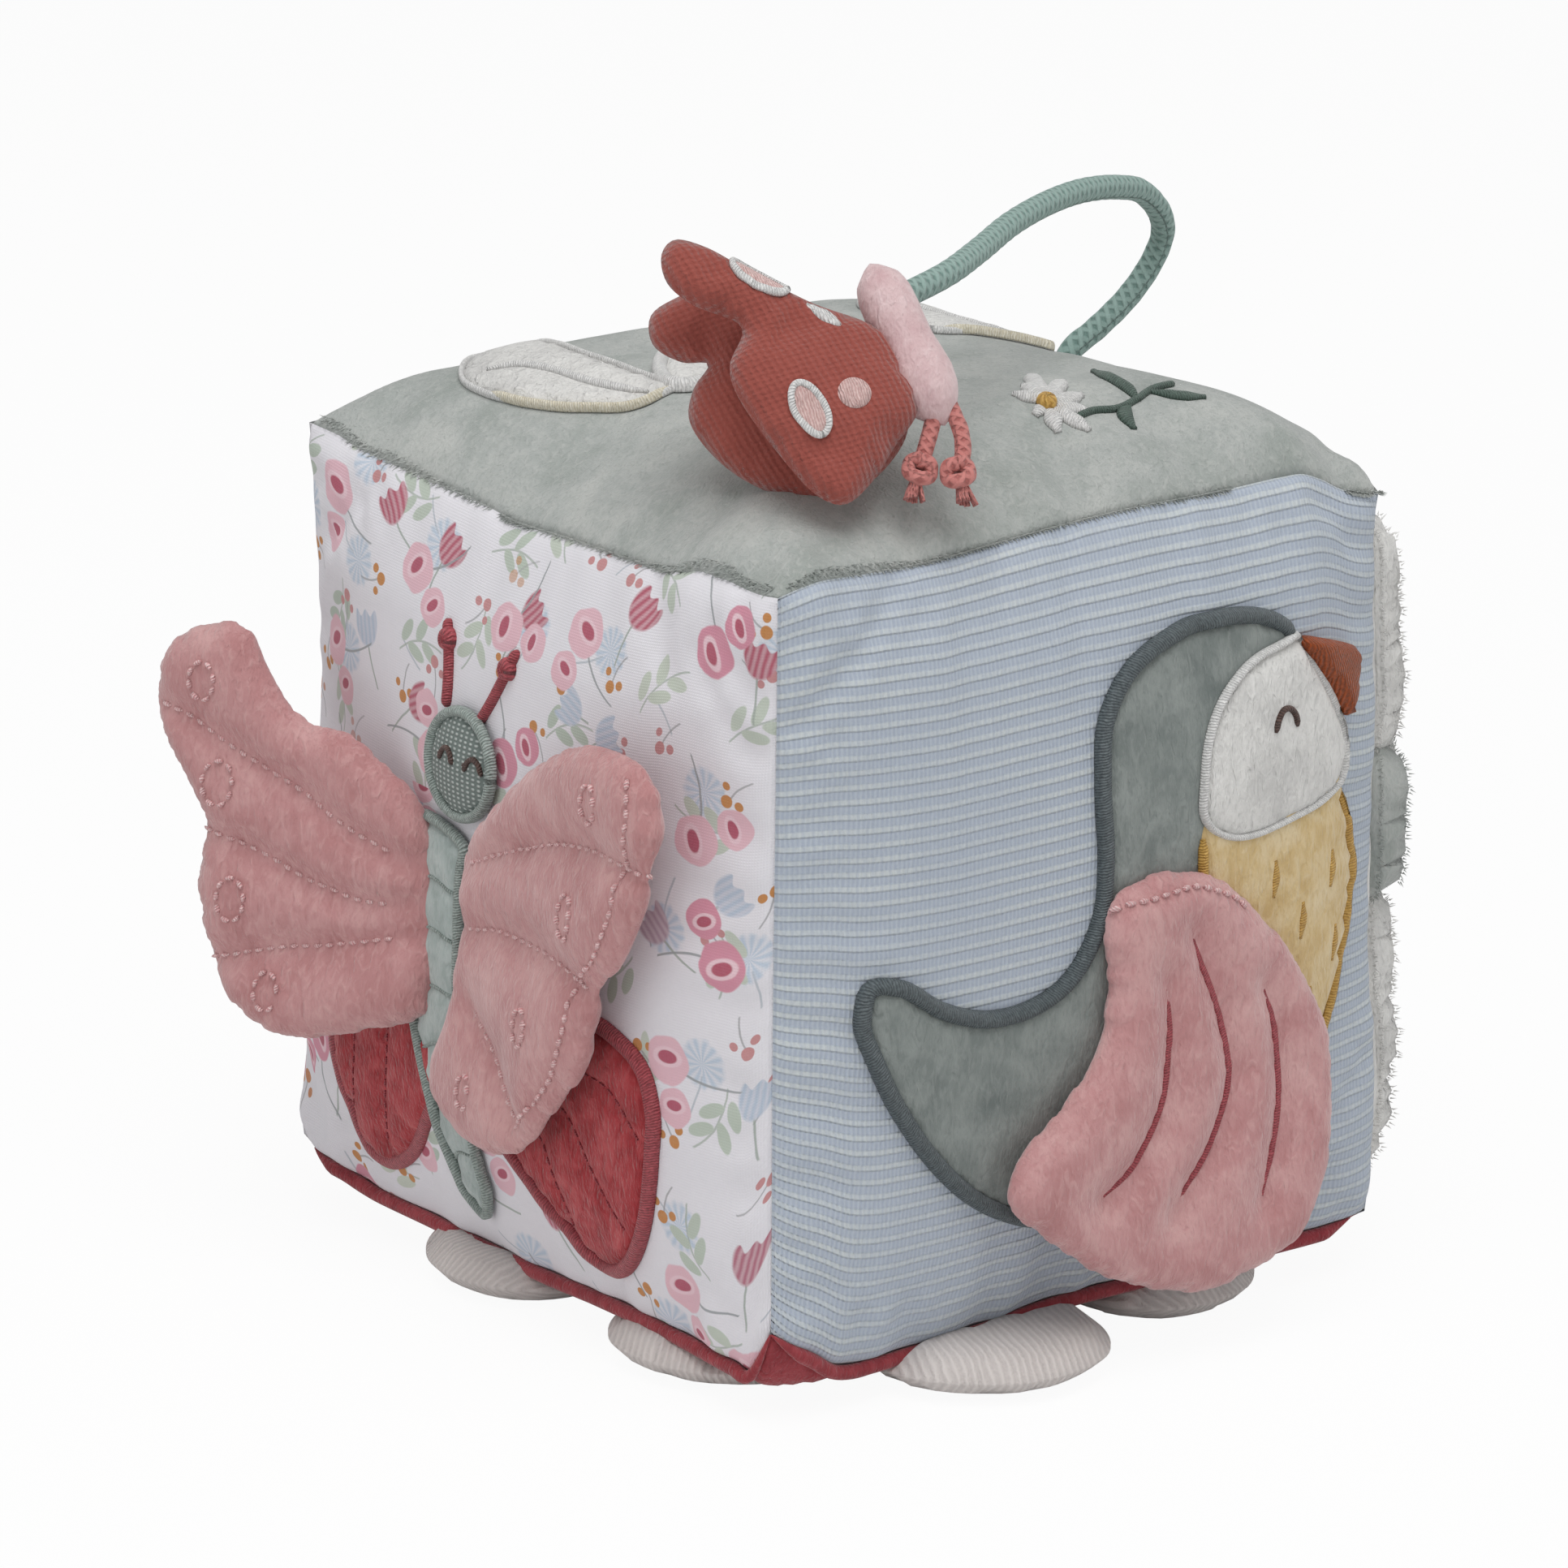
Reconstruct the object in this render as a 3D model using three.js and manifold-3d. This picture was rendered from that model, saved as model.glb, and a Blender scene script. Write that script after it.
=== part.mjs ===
// Soft fabric activity block: a stuffed cube with six covers that stands on a stuffed flower.
// A butterfly with two loose padded wings is sewn to one side and a bird with one loose padded
// wing to the next. A stuffed toy butterfly hangs on a braided cord from a top seam.
// Millimetres, +Z up. The origin is on the floor under the middle of the cube. The bird side
// faces -Y, the butterfly side -X and the white plush side +X.

import * as THREE from "three";
import { mergeVertices } from "three/addons/utils/BufferGeometryUtils.js";
import Module from "manifold-3d";

const wasm = await Module();
wasm.setup();

// Cube and covers
const cubeWidth = 152;
const cubeHeight = 150;
const bottomSeamHeight = 13;
const sideCrown = 7;
const topCrown = 14.5;
const bottomCrown = 4;
const sideDomePower = 3;
const topDomePower = 6;
const seamPull = 2;
const coverThickness = 2.4;
const coverCells = 8;
const clearance = 0.3;
const seamGap = 0.4;
const appliqueLift = 0.45;
const appliqueCell = 10;
const reliefLift = 0.75;
const cutOverrun = 6;
const patchPoints = 22;
const placingPasses = 5;

// Flower under the cube
const petalCount = 8;
const petalPoints = 19;
const petalFirstAngle = 164;
const petalInnerRadius = 20;
const petalLength = 70;
const petalWidth = 46;
const petalHeight = 8.4;
const flowerForward = 4;
const flowerCentreRadius = 17;
const flowerCentrePoints = 20;

// Loose butterfly wings
const wingWidth = 69;
const wingHeight = 91;
const wingThickness = 8.6;
const wingPoints = 28;
const wingClothThickness = 1.1;
const nearWingStandOff = 5.9;
const farWingStandOff = 3.3;
const wingRootSpacing = 14;
const wingRootMiddle = -12.4;
const wingRootHeight = 10.5;
const nearWingLift = 3;
const farWingLift = 27;
const farWingRootRise = 4.5;
const farWingWidth = 60;
const farWingHeight = 84;

// Butterfly body, lower wings and antennae
const headWidth = 24;
const headHeight = 23;
const headPadding = 2.8;
const headMiddle = { u: -12.6, v: 22 };
const abdomenLength = 76;
const abdomenWidth = 17;
const abdomenTop = { u: -15, v: 8.5 };
const abdomenThickness = 1.8;
const lowerWingWidth = 48;
const lowerWingHeight = 46;
const lowerWingThickness = 1.6;
const lowerWingPoints = 26;
const lowerWingInset = 13;
const lowerWingAxis = -15;
const lowerWingMiddleHeight = -45;
const farLowerWingWidthShare = 0.6;
const farLowerWingInset = 12.7;
const lowerBorderWidth = 3.4;
const lowerBorderHeight = 2.2;
const antennaDiameter = 1.8;
const antennaKnotDiameter = 2.6;
const antennaSides = 8;
const antennaRise = 12;
const nearAntennaReach = 12;
const farAntennaReach = -3;
const antennaSpacing = 7;

// Bird appliques
const birdWidth = 117;
const birdHeight = 113;
const birdMiddle = { u: 3.2, v: -1 };
const birdPoints = 44;
const birdThickness = 1.6;
const birdBorderWidth = 3.2;
const birdBorderHeight = 2.2;
const faceWidth = 34;
const faceHeight = 36;
const faceMiddle = { u: 39.6, v: 31.5 };
const faceBorderWidth = 2.4;
const bellyWidth = 36;
const bellyHeight = 54;
const bellyMiddle = { u: 40, v: -18.5 };
const beakLength = 15;
const beakHeight = 15;
const beakPoints = 10;
const beakRoot = { u: 47.5, v: 42 };

// Loose bird wing
const birdWingWidth = 82;
const birdWingHeight = 88.5;
const birdWingThickness = 8.2;
const birdWingPoints = 30;
const birdWingStandOff = 5.25;
const birdWingRoot = { u: 7.5, v: 12 };
const birdWingLift = 4;

// White motif and daisy on the top
const motifWingLength = 52;
const motifWingWidth = 20;
const motifBodyLength = 27;
const motifBodyWidth = 13;
const motifThickness = 1.8;
const leftMotifWing = { u: -46.5, v: 34, turn: 99 };
const rightMotifWing = { u: 37, v: 15, turn: 97 };
const motifBody = { u: -24, v: 17.5, turn: 48 };
const daisyRadius = 8.5;
const daisyThickness = 1.4;
const daisyMiddle = { u: 13, v: -46 };

// Stuffed relief on the white plush side
const reliefPoints = 20;
const reliefBodyWidth = 86;
const reliefBodyHeight = 61;
const reliefBodyPadding = 10.5;
const reliefBodyMiddle = { u: -28.5, v: -42.3 };
const reliefHeadWidth = 48;
const reliefHeadHeight = 42.5;
const reliefHeadPadding = 11;
const reliefHeadMiddle = { u: -48, v: 42 };
const scarfWidth = 52;
const scarfHeight = 27;
const scarfPadding = 11.5;
const scarfMiddle = { u: -46, v: 3.2 };
const earWidth = 13;
const earHeight = 30;
const earPadding = 6;
const earMiddle = { u: -14.5, v: 42 };

// Toy butterfly on the cord
const toyCentre = { x: -33.7, y: -61.4, z: 202.9 };
const toyTurn = 36;
const toyLean = 28;
const toyBodyLength = 34;
const toyBodyDiameter = 12.2;
const toyBodySides = 12;
const toyBodyTilt = 24.5;
const toyBodyMiddle = { u: -1.2, v: -0.4 };
const toyWingWidth = 46;
const toyWingHeight = 48;
const toyWingThickness = 5.6;
const toyWingPoints = 30;
const toyWingOpening = 12;
const toyWingOffset = 1.6;
const toyFrontWingMiddle = { u: -25.4, v: -6.2 };
const toyBackWingMiddle = { u: -28, v: -7 };
const toyAntennaDiameter = 3.2;
const toyKnotDiameter = 6;

// Antenna cords of the toy, in its own frame
const toyNearAntenna = [
  [4.6, -13, 0],
  [2.6, -20, 0.5],
  [0.6, -25, 0.5],
  [-1.4, -30, 1],
];
const toyFarAntenna = [
  [6.4, -12.6, 0],
  [8.8, -20, 0],
  [8.4, -25, 0.5],
  [8.8, -30, 1.5],
];

// Cord, from its seam to the toy
const cordDiameter = 5;
const cordSides = 8;
const cordSteps = 44;
const cordHoleClearance = 0.4;
const cordStitchLength = 10;
const cordStitchDiameter = 7.5;
const cordSunkLength = 10;
const cordBallSegments = 14;
const rodSides = 16;
const cordBallClearance = 0.3;
const cordRoute = [
  [76.5, 26, 163.5],
  [79.2, 26, 168.2],
  [85.2, 25.5, 172],
  [93.2, 25, 177.9],
  [98.2, 24, 184.4],
  [99.3, 22, 190.6],
  [96.5, 19.5, 195.7],
  [87, 14.5, 202.6],
  [75, 8, 206.3],
  [58, -1, 209.4],
  [40.4, -11, 210.9],
  [22, -22, 211.1],
  [3.6, -34.5, 210.5],
  [-14.7, -46.9, 210.5],
];
const cordToyEnd = { u: 2.1, v: 10.3 };

// How far the seams that run along an axis lie over an even cube's, at shares along them, for
// the given sides of the cube's other two axes
const seamRises = [
  { axis: "x", sides: { y: -1, z: 1 }, rises: [
    [-1, 0], [-0.84, 2.2], [-0.42, 3.3], [0, 5.4], [0.65, 5.9], [0.82, 3.2], [1, 0],
  ] },
  { axis: "y", sides: { x: -1, z: 1 }, rises: [
    [-1, 0], [-0.7, 0.3], [-0.4, -1.8], [0.1, -2.6], [0.5, -0.9], [1, 0],
  ] },
  { axis: "x", sides: { y: 1, z: 1 }, rises: [
    [-1, 0], [-0.7, 3], [0, 4.5], [0.5, 3.5], [1, 0],
  ] },
  { axis: "y", sides: { x: -1, z: -1 }, rises: [
    [-1, 0], [-0.8, -3.9], [0, -6], [0.63, -4.6], [1, 0],
  ] },
  { axis: "x", sides: { y: -1, z: -1 }, rises: [
    [-1, 0], [-0.75, -5.8], [-0.3, -6.3], [0.2, -5], [0.8, -3.4], [1, 0],
  ] },
];

// Outlines, as shares of the width and height that each call names, about the shape's middle
const wingOutlineShares = [
  [0.03, 0.01], [0.2, 0.1], [0.41, 0.2], [0.61, 0.29], [0.79, 0.335], [0.93, 0.31],
  [1, 0.22], [0.985, 0.1], [0.91, -0.04], [0.83, -0.15], [0.79, -0.25], [0.71, -0.38],
  [0.6, -0.51], [0.42, -0.63], [0.22, -0.665], [0.04, -0.62], [-0.03, -0.52], [0, -0.38],
  [0.05, -0.25],
];
const farWingOutlineShares = [
  [0.05, 0], [0.16, 0.06], [0.37, 0.13], [0.47, 0.14], [0.54, 0.2], [0.63, 0.31], [0.72, 0.35],
  [0.88, 0.32], [0.97, 0.25], [1, 0.15], [0.98, 0.04], [0.9, -0.07], [0.83, -0.17],
  [0.86, -0.3], [0.84, -0.43], [0.78, -0.54], [0.67, -0.63], [0.52, -0.66], [0.32, -0.64],
  [0.08, -0.57], [-0.02, -0.5], [0, -0.38], [0.03, -0.2],
];
const wingMiddleShare = [0.48, -0.14];
const lowerWingShares = [
  [0, -0.02], [0.3, 0.34], [0.68, 0.5], [0.94, 0.35], [1, -0.02], [0.93, -0.4],
  [0.81, -0.5], [0.6, -0.42], [0.26, -0.22],
];
const abdomenLineShares = [[0, 0], [-0.026, -0.16], [-0.026, -0.48], [0.026, -0.75], [0.09, -1]];
const abdomenWidthShares = [0.8, 1, 0.94, 0.66, 0.26];
const birdShares = [
  [0.459, 0.293], [0.418, 0.431], [0.287, 0.5], [0.139, 0.483], [0.033, 0.379],
  [-0.008, 0.233], [-0.033, 0.069], [-0.107, -0.06], [-0.23, -0.103], [-0.369, -0.069],
  [-0.478, 0], [-0.5, -0.069], [-0.451, -0.207], [-0.352, -0.345], [-0.205, -0.448],
  [0.008, -0.5], [0.238, -0.466], [0.402, -0.345], [0.492, -0.155], [0.5, 0.052],
];
const ovalShares = [
  [0.5, 0], [0.35, 0.36], [0, 0.5], [-0.35, 0.36], [-0.5, 0], [-0.35, -0.36], [0, -0.5],
  [0.35, -0.36],
];
const bellyShares = [
  [-0.4, 0.46], [0, 0.5], [0.36, 0.44], [0.5, 0.22], [0.48, -0.1], [0.3, -0.36],
  [-0.1, -0.5], [-0.42, -0.42], [-0.22, -0.12], [-0.26, 0.2],
];
const beakShares = [[0, 0.5], [0.55, 0.24], [1, 0], [0.5, -0.28], [0, -0.5]];
const birdWingShares = [
  [-0.2, -0.03], [-0.12, 0], [0.05, 0], [0.17, -0.05], [0.27, -0.14], [0.39, -0.28],
  [0.49, -0.45], [0.512, -0.6], [0.49, -0.77], [0.43, -0.9], [0.28, -0.965], [0.1, -1],
  [-0.08, -0.91], [-0.27, -0.82], [-0.37, -0.76], [-0.46, -0.67], [-0.488, -0.59],
  [-0.4, -0.51], [-0.28, -0.44], [-0.2, -0.31], [-0.19, -0.16],
];
const birdWingMiddleShare = [0.1, -0.54];
const leafShares = [
  [0.5, 0], [0.3, 0.34], [0, 0.5], [-0.3, 0.4], [-0.5, 0.08], [-0.34, -0.3], [0, -0.44],
  [0.3, -0.26],
];
const bunShares = [
  [0.5, -0.08], [0.46, 0.24], [0.3, 0.45], [-0.04, 0.5], [-0.38, 0.45], [-0.5, 0.2],
  [-0.5, -0.26], [-0.38, -0.46], [0.04, -0.5], [0.38, -0.42],
];
const bandShares = [
  [0.5, 0.1], [0.36, 0.5], [-0.36, 0.5], [-0.5, 0.1], [-0.48, -0.34], [-0.3, -0.5],
  [0.3, -0.5], [0.48, -0.34],
];
const petalShares = [
  [0, 0], [0.02, 0.11], [0.27, 0.27], [0.47, 0.39], [0.68, 0.5], [0.86, 0.43], [0.96, 0.24],
  [1, 0], [0.96, -0.24], [0.86, -0.43], [0.68, -0.5], [0.47, -0.39], [0.27, -0.27],
  [0.02, -0.11],
];
const petalMiddleShare = 0.58;
const toyFrontWingShares = [
  [0.4, 0.2], [0.12, 0.29], [-0.12, 0.39], [-0.33, 0.485], [-0.45, 0.5], [-0.5, 0.44],
  [-0.48, 0.33], [-0.38, 0.25], [-0.17, 0.17], [-0.22, 0.02], [-0.2, -0.08], [-0.02, -0.32],
  [0.15, -0.48], [0.25, -0.5], [0.36, -0.41], [0.46, -0.26], [0.56, -0.1], [0.5, 0.06],
];
const toyBackWingShares = [
  [0.44, 0.22], [0.1, 0.34], [-0.2, 0.42], [-0.37, 0.37], [-0.48, 0.3], [-0.47, 0.19],
  [-0.35, 0.12], [-0.24, 0.11], [-0.3, 0.02], [-0.32, -0.1], [-0.2, -0.26], [0, -0.38],
  [0.22, -0.42], [0.42, -0.36], [0.58, -0.16], [0.52, 0.04],
];
const toyWingMiddleShare = [0.06, -0.02];

// Profiles from the middle to the rim: share of the outline, share of the height
const paddedFrontShares = [[0, 1], [0.55, 0.94], [0.85, 0.7], [1, 0.14]];
const paddingShares = [[0, 1], [0.6, 0.9], [0.87, 0]];
const stuffedShares = [[0, 1], [0.55, 0.93], [0.85, 0.66], [1, 0]];
const petalTopShares = [[1, 0.34], [0.95, 0.68], [0.82, 0.88], [0.5, 0.98], [0, 1]];
const petalFootShare = 0.86;
const reliefShares = [[1, 0.3], [0.9, 0.66], [0.6, 0.93], [0, 1]];
const reliefFootShares = [0, 0.6, 1];
const clothInnerShares = [[0.94, 0], [0.8, 0.72], [0.5, 0.93], [0, 1]];
const paddingHeightShare = 0.9;
const borderStart = 1.5;
const borderSectionShares = [[0, 0], [1, 0], [0.84, 1], [0.24, 1]];
const flowerCentreShares = [[0, 0], [0.9, 0], [1, 0.25], [1, 0.7], [0.82, 0.97], [0, 1]];
const antennaStationShares = [0, 0.25, 0.6, 1];
const antennaTipShare = 0.8;
const toyAntennaEndShares = [0.9, 0.7, 0];
const daisyPetals = 7;
const daisyPoints = 28;
const daisyReachShares = { middle: 0.84, swing: 0.16 };
const toyBodyRadiusShares = [0, 0.62, 0.86, 0.88, 0.84, 0.86, 0.95, 1, 0.9, 0.62, 0];

const finishes = {
  sagePlush: { color: "#b1bab1", roughness: 0.95 },
  redPlush: { color: "#a9494f", roughness: 0.95 },
  whitePlush: { color: "#ecebe8", roughness: 1 },
  floralCotton: { color: "#e6e2e4", roughness: 0.85 },
  stripedCotton: { color: "#bcc8d2", roughness: 0.85 },
  pinkPlush: { color: "#ce9797", roughness: 0.95 },
  velvet: { color: "#a9494f", roughness: 0.9 },
  redSatin: { color: "#9c4148", roughness: 0.5 },
  mintPlush: { color: "#a9b7b0", roughness: 0.95 },
  sageSatin: { color: "#8c9c96", roughness: 0.5 },
  greyPlush: { color: "#7f8a89", roughness: 0.95 },
  greySatin: { color: "#5a6264", roughness: 0.5 },
  whiteSatin: { color: "#e9e8e6", roughness: 0.5 },
  yellowPlush: { color: "#ddc08d", roughness: 0.95 },
  rustSatin: { color: "#9a4a14", roughness: 0.5 },
  ribbedCotton: { color: "#dad6d3", roughness: 0.95 },
  rustKnit: { color: "#a5534a", roughness: 0.95 },
  sageCord: { color: "#7f9c95", roughness: 0.85 },
  pinkCord: { color: "#c47a74", roughness: 0.85 },
  fibre: { color: "#f4f3ef", roughness: 1 },
};

const cubeMiddleHeight = bottomSeamHeight + cubeHeight / 2;
const halfWidth = cubeWidth / 2;
const halfHeight = cubeHeight / 2;

// Each side has its own frame: u to the right and v up as seen from outside, and out.
const sides = {
  bird: { right: [1, 0, 0], up: [0, 0, 1], out: [0, -1, 0], crown: sideCrown },
  butterfly: { right: [0, -1, 0], up: [0, 0, 1], out: [-1, 0, 0], crown: sideCrown },
  plush: { right: [0, 1, 0], up: [0, 0, 1], out: [1, 0, 0], crown: sideCrown },
  back: { right: [-1, 0, 0], up: [0, 0, 1], out: [0, 1, 0], crown: sideCrown },
  top: { right: [1, 0, 0], up: [0, 1, 0], out: [0, 0, 1], crown: topCrown },
  bottom: { right: [1, 0, 0], up: [0, -1, 0], out: [0, 0, -1], crown: bottomCrown },
};
for (const side of Object.values(sides)) {
  const lies = side.out[2] !== 0;
  side.halfU = halfWidth;
  side.halfV = lies ? halfWidth : halfHeight;
  side.halfDepth = lies ? halfHeight : halfWidth;
  side.power = side === sides.top ? topDomePower : sideDomePower;
}

const block = new THREE.Group();

function addPiece(parent, name, geometry, finish) {
  const material = new THREE.MeshStandardMaterial({ ...finish, metalness: 0 });
  const mesh = new THREE.Mesh(geometry, material);
  mesh.name = name;
  parent.add(mesh);
}

function sideMatrix(side) {
  const [right, up, out] = [side.right, side.up, side.out].map((axis) => new THREE.Vector3(...axis));
  const matrix = new THREE.Matrix4().makeBasis(right, up, out);
  return matrix.setPosition(0, 0, cubeMiddleHeight);
}

function sideGroup(side) {
  const group = new THREE.Group();
  group.applyMatrix4(sideMatrix(side));
  block.add(group);
  return group;
}

// A closed solid from points and triangles, turned so that its faces point out
function solid(points, triangles) {
  const volume = triangles.reduce((sum, [a, b, c]) => {
    return sum + points[a].dot(points[b].clone().cross(points[c]));
  }, 0);
  const outward = triangles.map(([a, b, c]) => (volume > 0 ? [a, b, c] : [a, c, b]));
  const geometry = new THREE.BufferGeometry().setFromPoints(points);
  geometry.setIndex(outward.flat());
  geometry.computeVertexNormals();
  return geometry;
}

// A solid through rings of points. A ring of one point is a pole. A hoop joins last to first.
function loft(rings, hoop = false) {
  const starts = rings.map((_, index) => rings.slice(0, index).flat().length);
  const triangles = [];
  const spans = hoop ? rings.length : rings.length - 1;
  for (let span = 0; span < spans; span += 1) {
    const next = (span + 1) % rings.length;
    const count = Math.max(rings[span].length, rings[next].length);
    const at = (ring, step) => starts[ring] + (step % rings[ring].length);
    for (let step = 0; step < count; step += 1) {
      if (rings[next].length > 1) {
        triangles.push([at(span, step), at(next, step + 1), at(next, step)]);
      }
      if (rings[span].length > 1) {
        triangles.push([at(span, step), at(span, step + 1), at(next, step + 1)]);
      }
    }
  }
  return solid(rings.flat(), triangles);
}

// A smooth closed outline through shares of a width and height about a middle
function outlineOf(shares, width, height, middle, count, turn = 0) {
  const corners = shares.map(([u, v]) => {
    const corner = new THREE.Vector2(u * width, v * height);
    corner.rotateAround(new THREE.Vector2(), THREE.MathUtils.degToRad(turn));
    return new THREE.Vector3(middle.u + corner.x, middle.v + corner.y, 0);
  });
  const curve = new THREE.CatmullRomCurve3(corners, true, "centripetal");
  return curve.getSpacedPoints(count).slice(0, count);
}

// The outline drawn in to a share towards its middle, with each point passed to place
function ringOf(outline, middle, share, place) {
  if (share === 0) {
    return [place(middle.x, middle.y)];
  }
  return outline.map((point) => {
    const drawn = middle.clone().lerp(point, share);
    return place(drawn.x, drawn.y);
  });
}

function toManifold(geometry) {
  const bare = geometry.clone();
  bare.deleteAttribute("normal");
  bare.deleteAttribute("uv");
  const merged = mergeVertices(bare);
  return new wasm.Manifold(new wasm.Mesh({
    numProp: 3,
    vertProperties: merged.attributes.position.array,
    triVerts: new Uint32Array(merged.index.array),
  }));
}

function fromManifold(body) {
  const mesh = body.getMesh();
  const geometry = new THREE.BufferGeometry();
  geometry.setAttribute("position", new THREE.BufferAttribute(mesh.vertProperties, 3));
  geometry.setIndex(new THREE.BufferAttribute(mesh.triVerts, 1));
  geometry.computeVertexNormals();
  return geometry;
}

function join(...geometries) {
  return fromManifold(geometries.map(toManifold).reduce((whole, part) => whole.add(part)));
}

function cut(geometry, ...tools) {
  const whole = toManifold(geometry);
  return fromManifold(tools.reduce((body, tool) => body.subtract(toManifold(tool)), whole));
}

// A value between the steps of a table, at a share
function between(table, share) {
  const next = table.findIndex(([place]) => place >= share);
  if (next < 1) {
    return table[Math.max(next, 0)][1];
  }
  const [[start, from], [end, to]] = [table[next - 1], table[next]];
  return THREE.MathUtils.mapLinear(share, start, end, from, to);
}

// How far the seams around lift a point of a side
function seamRise(side, a, b) {
  const [x, y, z] = [0, 1, 2].map((axis) => {
    const place = a * side.right[axis] + b * side.up[axis] + side.out[axis];
    return THREE.MathUtils.clamp(place, -1, 1);
  });
  const places = { x, y, z };
  const near = (axis, sign) => ((1 + sign * places[axis]) / 2) ** 2;
  return seamRises.reduce((sum, { axis, sides: ends, rises }) => {
    const share = Object.entries(ends).reduce((part, [other, sign]) => part * near(other, sign), 1);
    return sum + share * between(rises, places[axis]);
  }, 0);
}

// How far a seam is drawn in at a share of its length
const drawnIn = (share) => seamPull * (1 - share ** 2);

function coverDepth(side, a, b) {
  const inset = drawnIn(b) * a ** 2 + drawnIn(a) * b ** 2;
  const [across, along] = [a, b].map((share) => 1 - Math.abs(share) ** side.power);
  const risen = side.out[2] * seamRise(side, a, b);
  return side.halfDepth - inset + side.crown * across * along + risen;
}

// A point of a cover at shares of its half width and half height, a depth under the surface
function coverPoint(side, a, b, depth) {
  return new THREE.Vector3(
    a * (side.halfU - depth - drawnIn(b)),
    b * (side.halfV - depth - drawnIn(a)) + side.up[2] * seamRise(side, a, b),
    coverDepth(side, a, b) - depth,
  );
}

// A point at a lift over the surface of a cover, at real sizes u and v
function pointOver(side, u, v, lift) {
  let a = u / side.halfU;
  let b = v / side.halfV;
  for (let pass = 0; pass < placingPasses; pass += 1) {
    a = u / (side.halfU - drawnIn(b));
    b = (v - side.up[2] * seamRise(side, a, b)) / (side.halfV - drawnIn(a));
  }
  return new THREE.Vector3(u, v, coverDepth(side, a, b) + lift);
}

// Points of a cover, closer to each other near its seams
function coverGrid(side, reach, depth) {
  const rows = [];
  for (let row = 0; row <= coverCells; row += 1) {
    for (let column = 0; column <= coverCells; column += 1) {
      const [a, b] = [column, row].map((step) => {
        return reach * Math.sin((Math.PI / 2) * ((2 * step) / coverCells - 1));
      });
      rows.push(coverPoint(side, a, b, depth));
    }
  }
  return rows;
}

function gridTriangles(start, columns, rows) {
  const triangles = [];
  const stride = columns + 1;
  for (let row = 0; row < rows; row += 1) {
    for (let column = 0; column < columns; column += 1) {
      const corner = start + row * stride + column;
      triangles.push([corner, corner + 1, corner + stride + 1]);
      triangles.push([corner, corner + stride + 1, corner + stride]);
    }
  }
  return triangles;
}

// Edges that only one triangle uses, in that triangle's direction
function openEdges(triangles) {
  const edges = triangles.flatMap(([a, b, c]) => [[a, b], [b, c], [c, a]]);
  const seen = new Set(edges.map((edge) => edge.join()));
  return edges.filter(([from, to]) => !seen.has([to, from].join()));
}

// A sheet given as a top and a bottom with the same triangles, closed along its open edges
function sheetSolid(top, bottom, triangles) {
  const under = top.length;
  const closed = triangles.flatMap(([a, b, c]) => [[a, b, c], [under + a, under + c, under + b]]);
  for (const [from, to] of openEdges(triangles)) {
    closed.push([from, under + from, under + to], [from, under + to, to]);
  }
  return solid([...top, ...bottom], closed);
}

function coverSolid(side) {
  const reach = 1 - seamGap / (Math.SQRT2 * side.halfU);
  const outer = coverGrid(side, reach, 0);
  const inner = coverGrid(side, reach, coverThickness);
  const cover = sheetSolid(outer, inner, gridTriangles(0, coverCells, coverCells));
  return cover.applyMatrix4(sideMatrix(side));
}

function fillingSolid() {
  const points = [];
  const triangles = [];
  for (const side of Object.values(sides)) {
    triangles.push(...gridTriangles(points.length, coverCells, coverCells));
    for (const point of coverGrid(side, 1, coverThickness + clearance)) {
      points.push(point.applyMatrix4(sideMatrix(side)));
    }
  }
  return mergeVertices(solid(points, triangles).deleteAttribute("normal"));
}

// An applique that follows the cover under it: a curved slab, cut to the outline
function appliqueOn(side, outline, lift, thickness) {
  const box = new THREE.Box3().setFromPoints(outline).expandByScalar(cutOverrun);
  const size = box.getSize(new THREE.Vector3());
  const [columns, rows] = [size.x, size.y].map((length) => Math.ceil(length / appliqueCell));
  const slabAt = (height) => {
    return Array.from({ length: (columns + 1) * (rows + 1) }, (_, index) => {
      const u = box.min.x + (size.x * (index % (columns + 1))) / columns;
      const v = box.min.y + (size.y * Math.floor(index / (columns + 1))) / rows;
      return pointOver(side, u, v, height);
    });
  };
  const grid = gridTriangles(0, columns, rows);
  const slab = sheetSolid(slabAt(lift + thickness), slabAt(lift), grid);
  const shape = new THREE.Shape(outline.map((point) => new THREE.Vector2(point.x, point.y)));
  const depth = 2 * cutOverrun + side.crown;
  const prism = new THREE.ExtrudeGeometry(shape, { depth, bevelEnabled: false });
  prism.translate(0, 0, side.halfDepth - cutOverrun);
  return fromManifold(toManifold(slab).intersect(toManifold(prism)));
}

// A satin stitched border round an outline, with a rounded top
function borderOn(side, outline, lift, width, height) {
  const count = outline.length;
  const rings = outline.map((point, index) => {
    const ahead = outline[(index + 1) % count];
    const behind = outline[(index + count - 1) % count];
    const along = ahead.clone().sub(behind).normalize();
    const away = new THREE.Vector3(along.y, -along.x, 0);
    const sign = THREE.ShapeUtils.isClockWise(outline) ? -1 : 1;
    return borderSectionShares.map(([across, rise]) => {
      const reach = clearance * borderStart + across * width;
      const place = point.clone().addScaledVector(away, sign * reach);
      return pointOver(side, place.x, place.y, lift + rise * height);
    });
  });
  return loft(rings, true);
}

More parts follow.
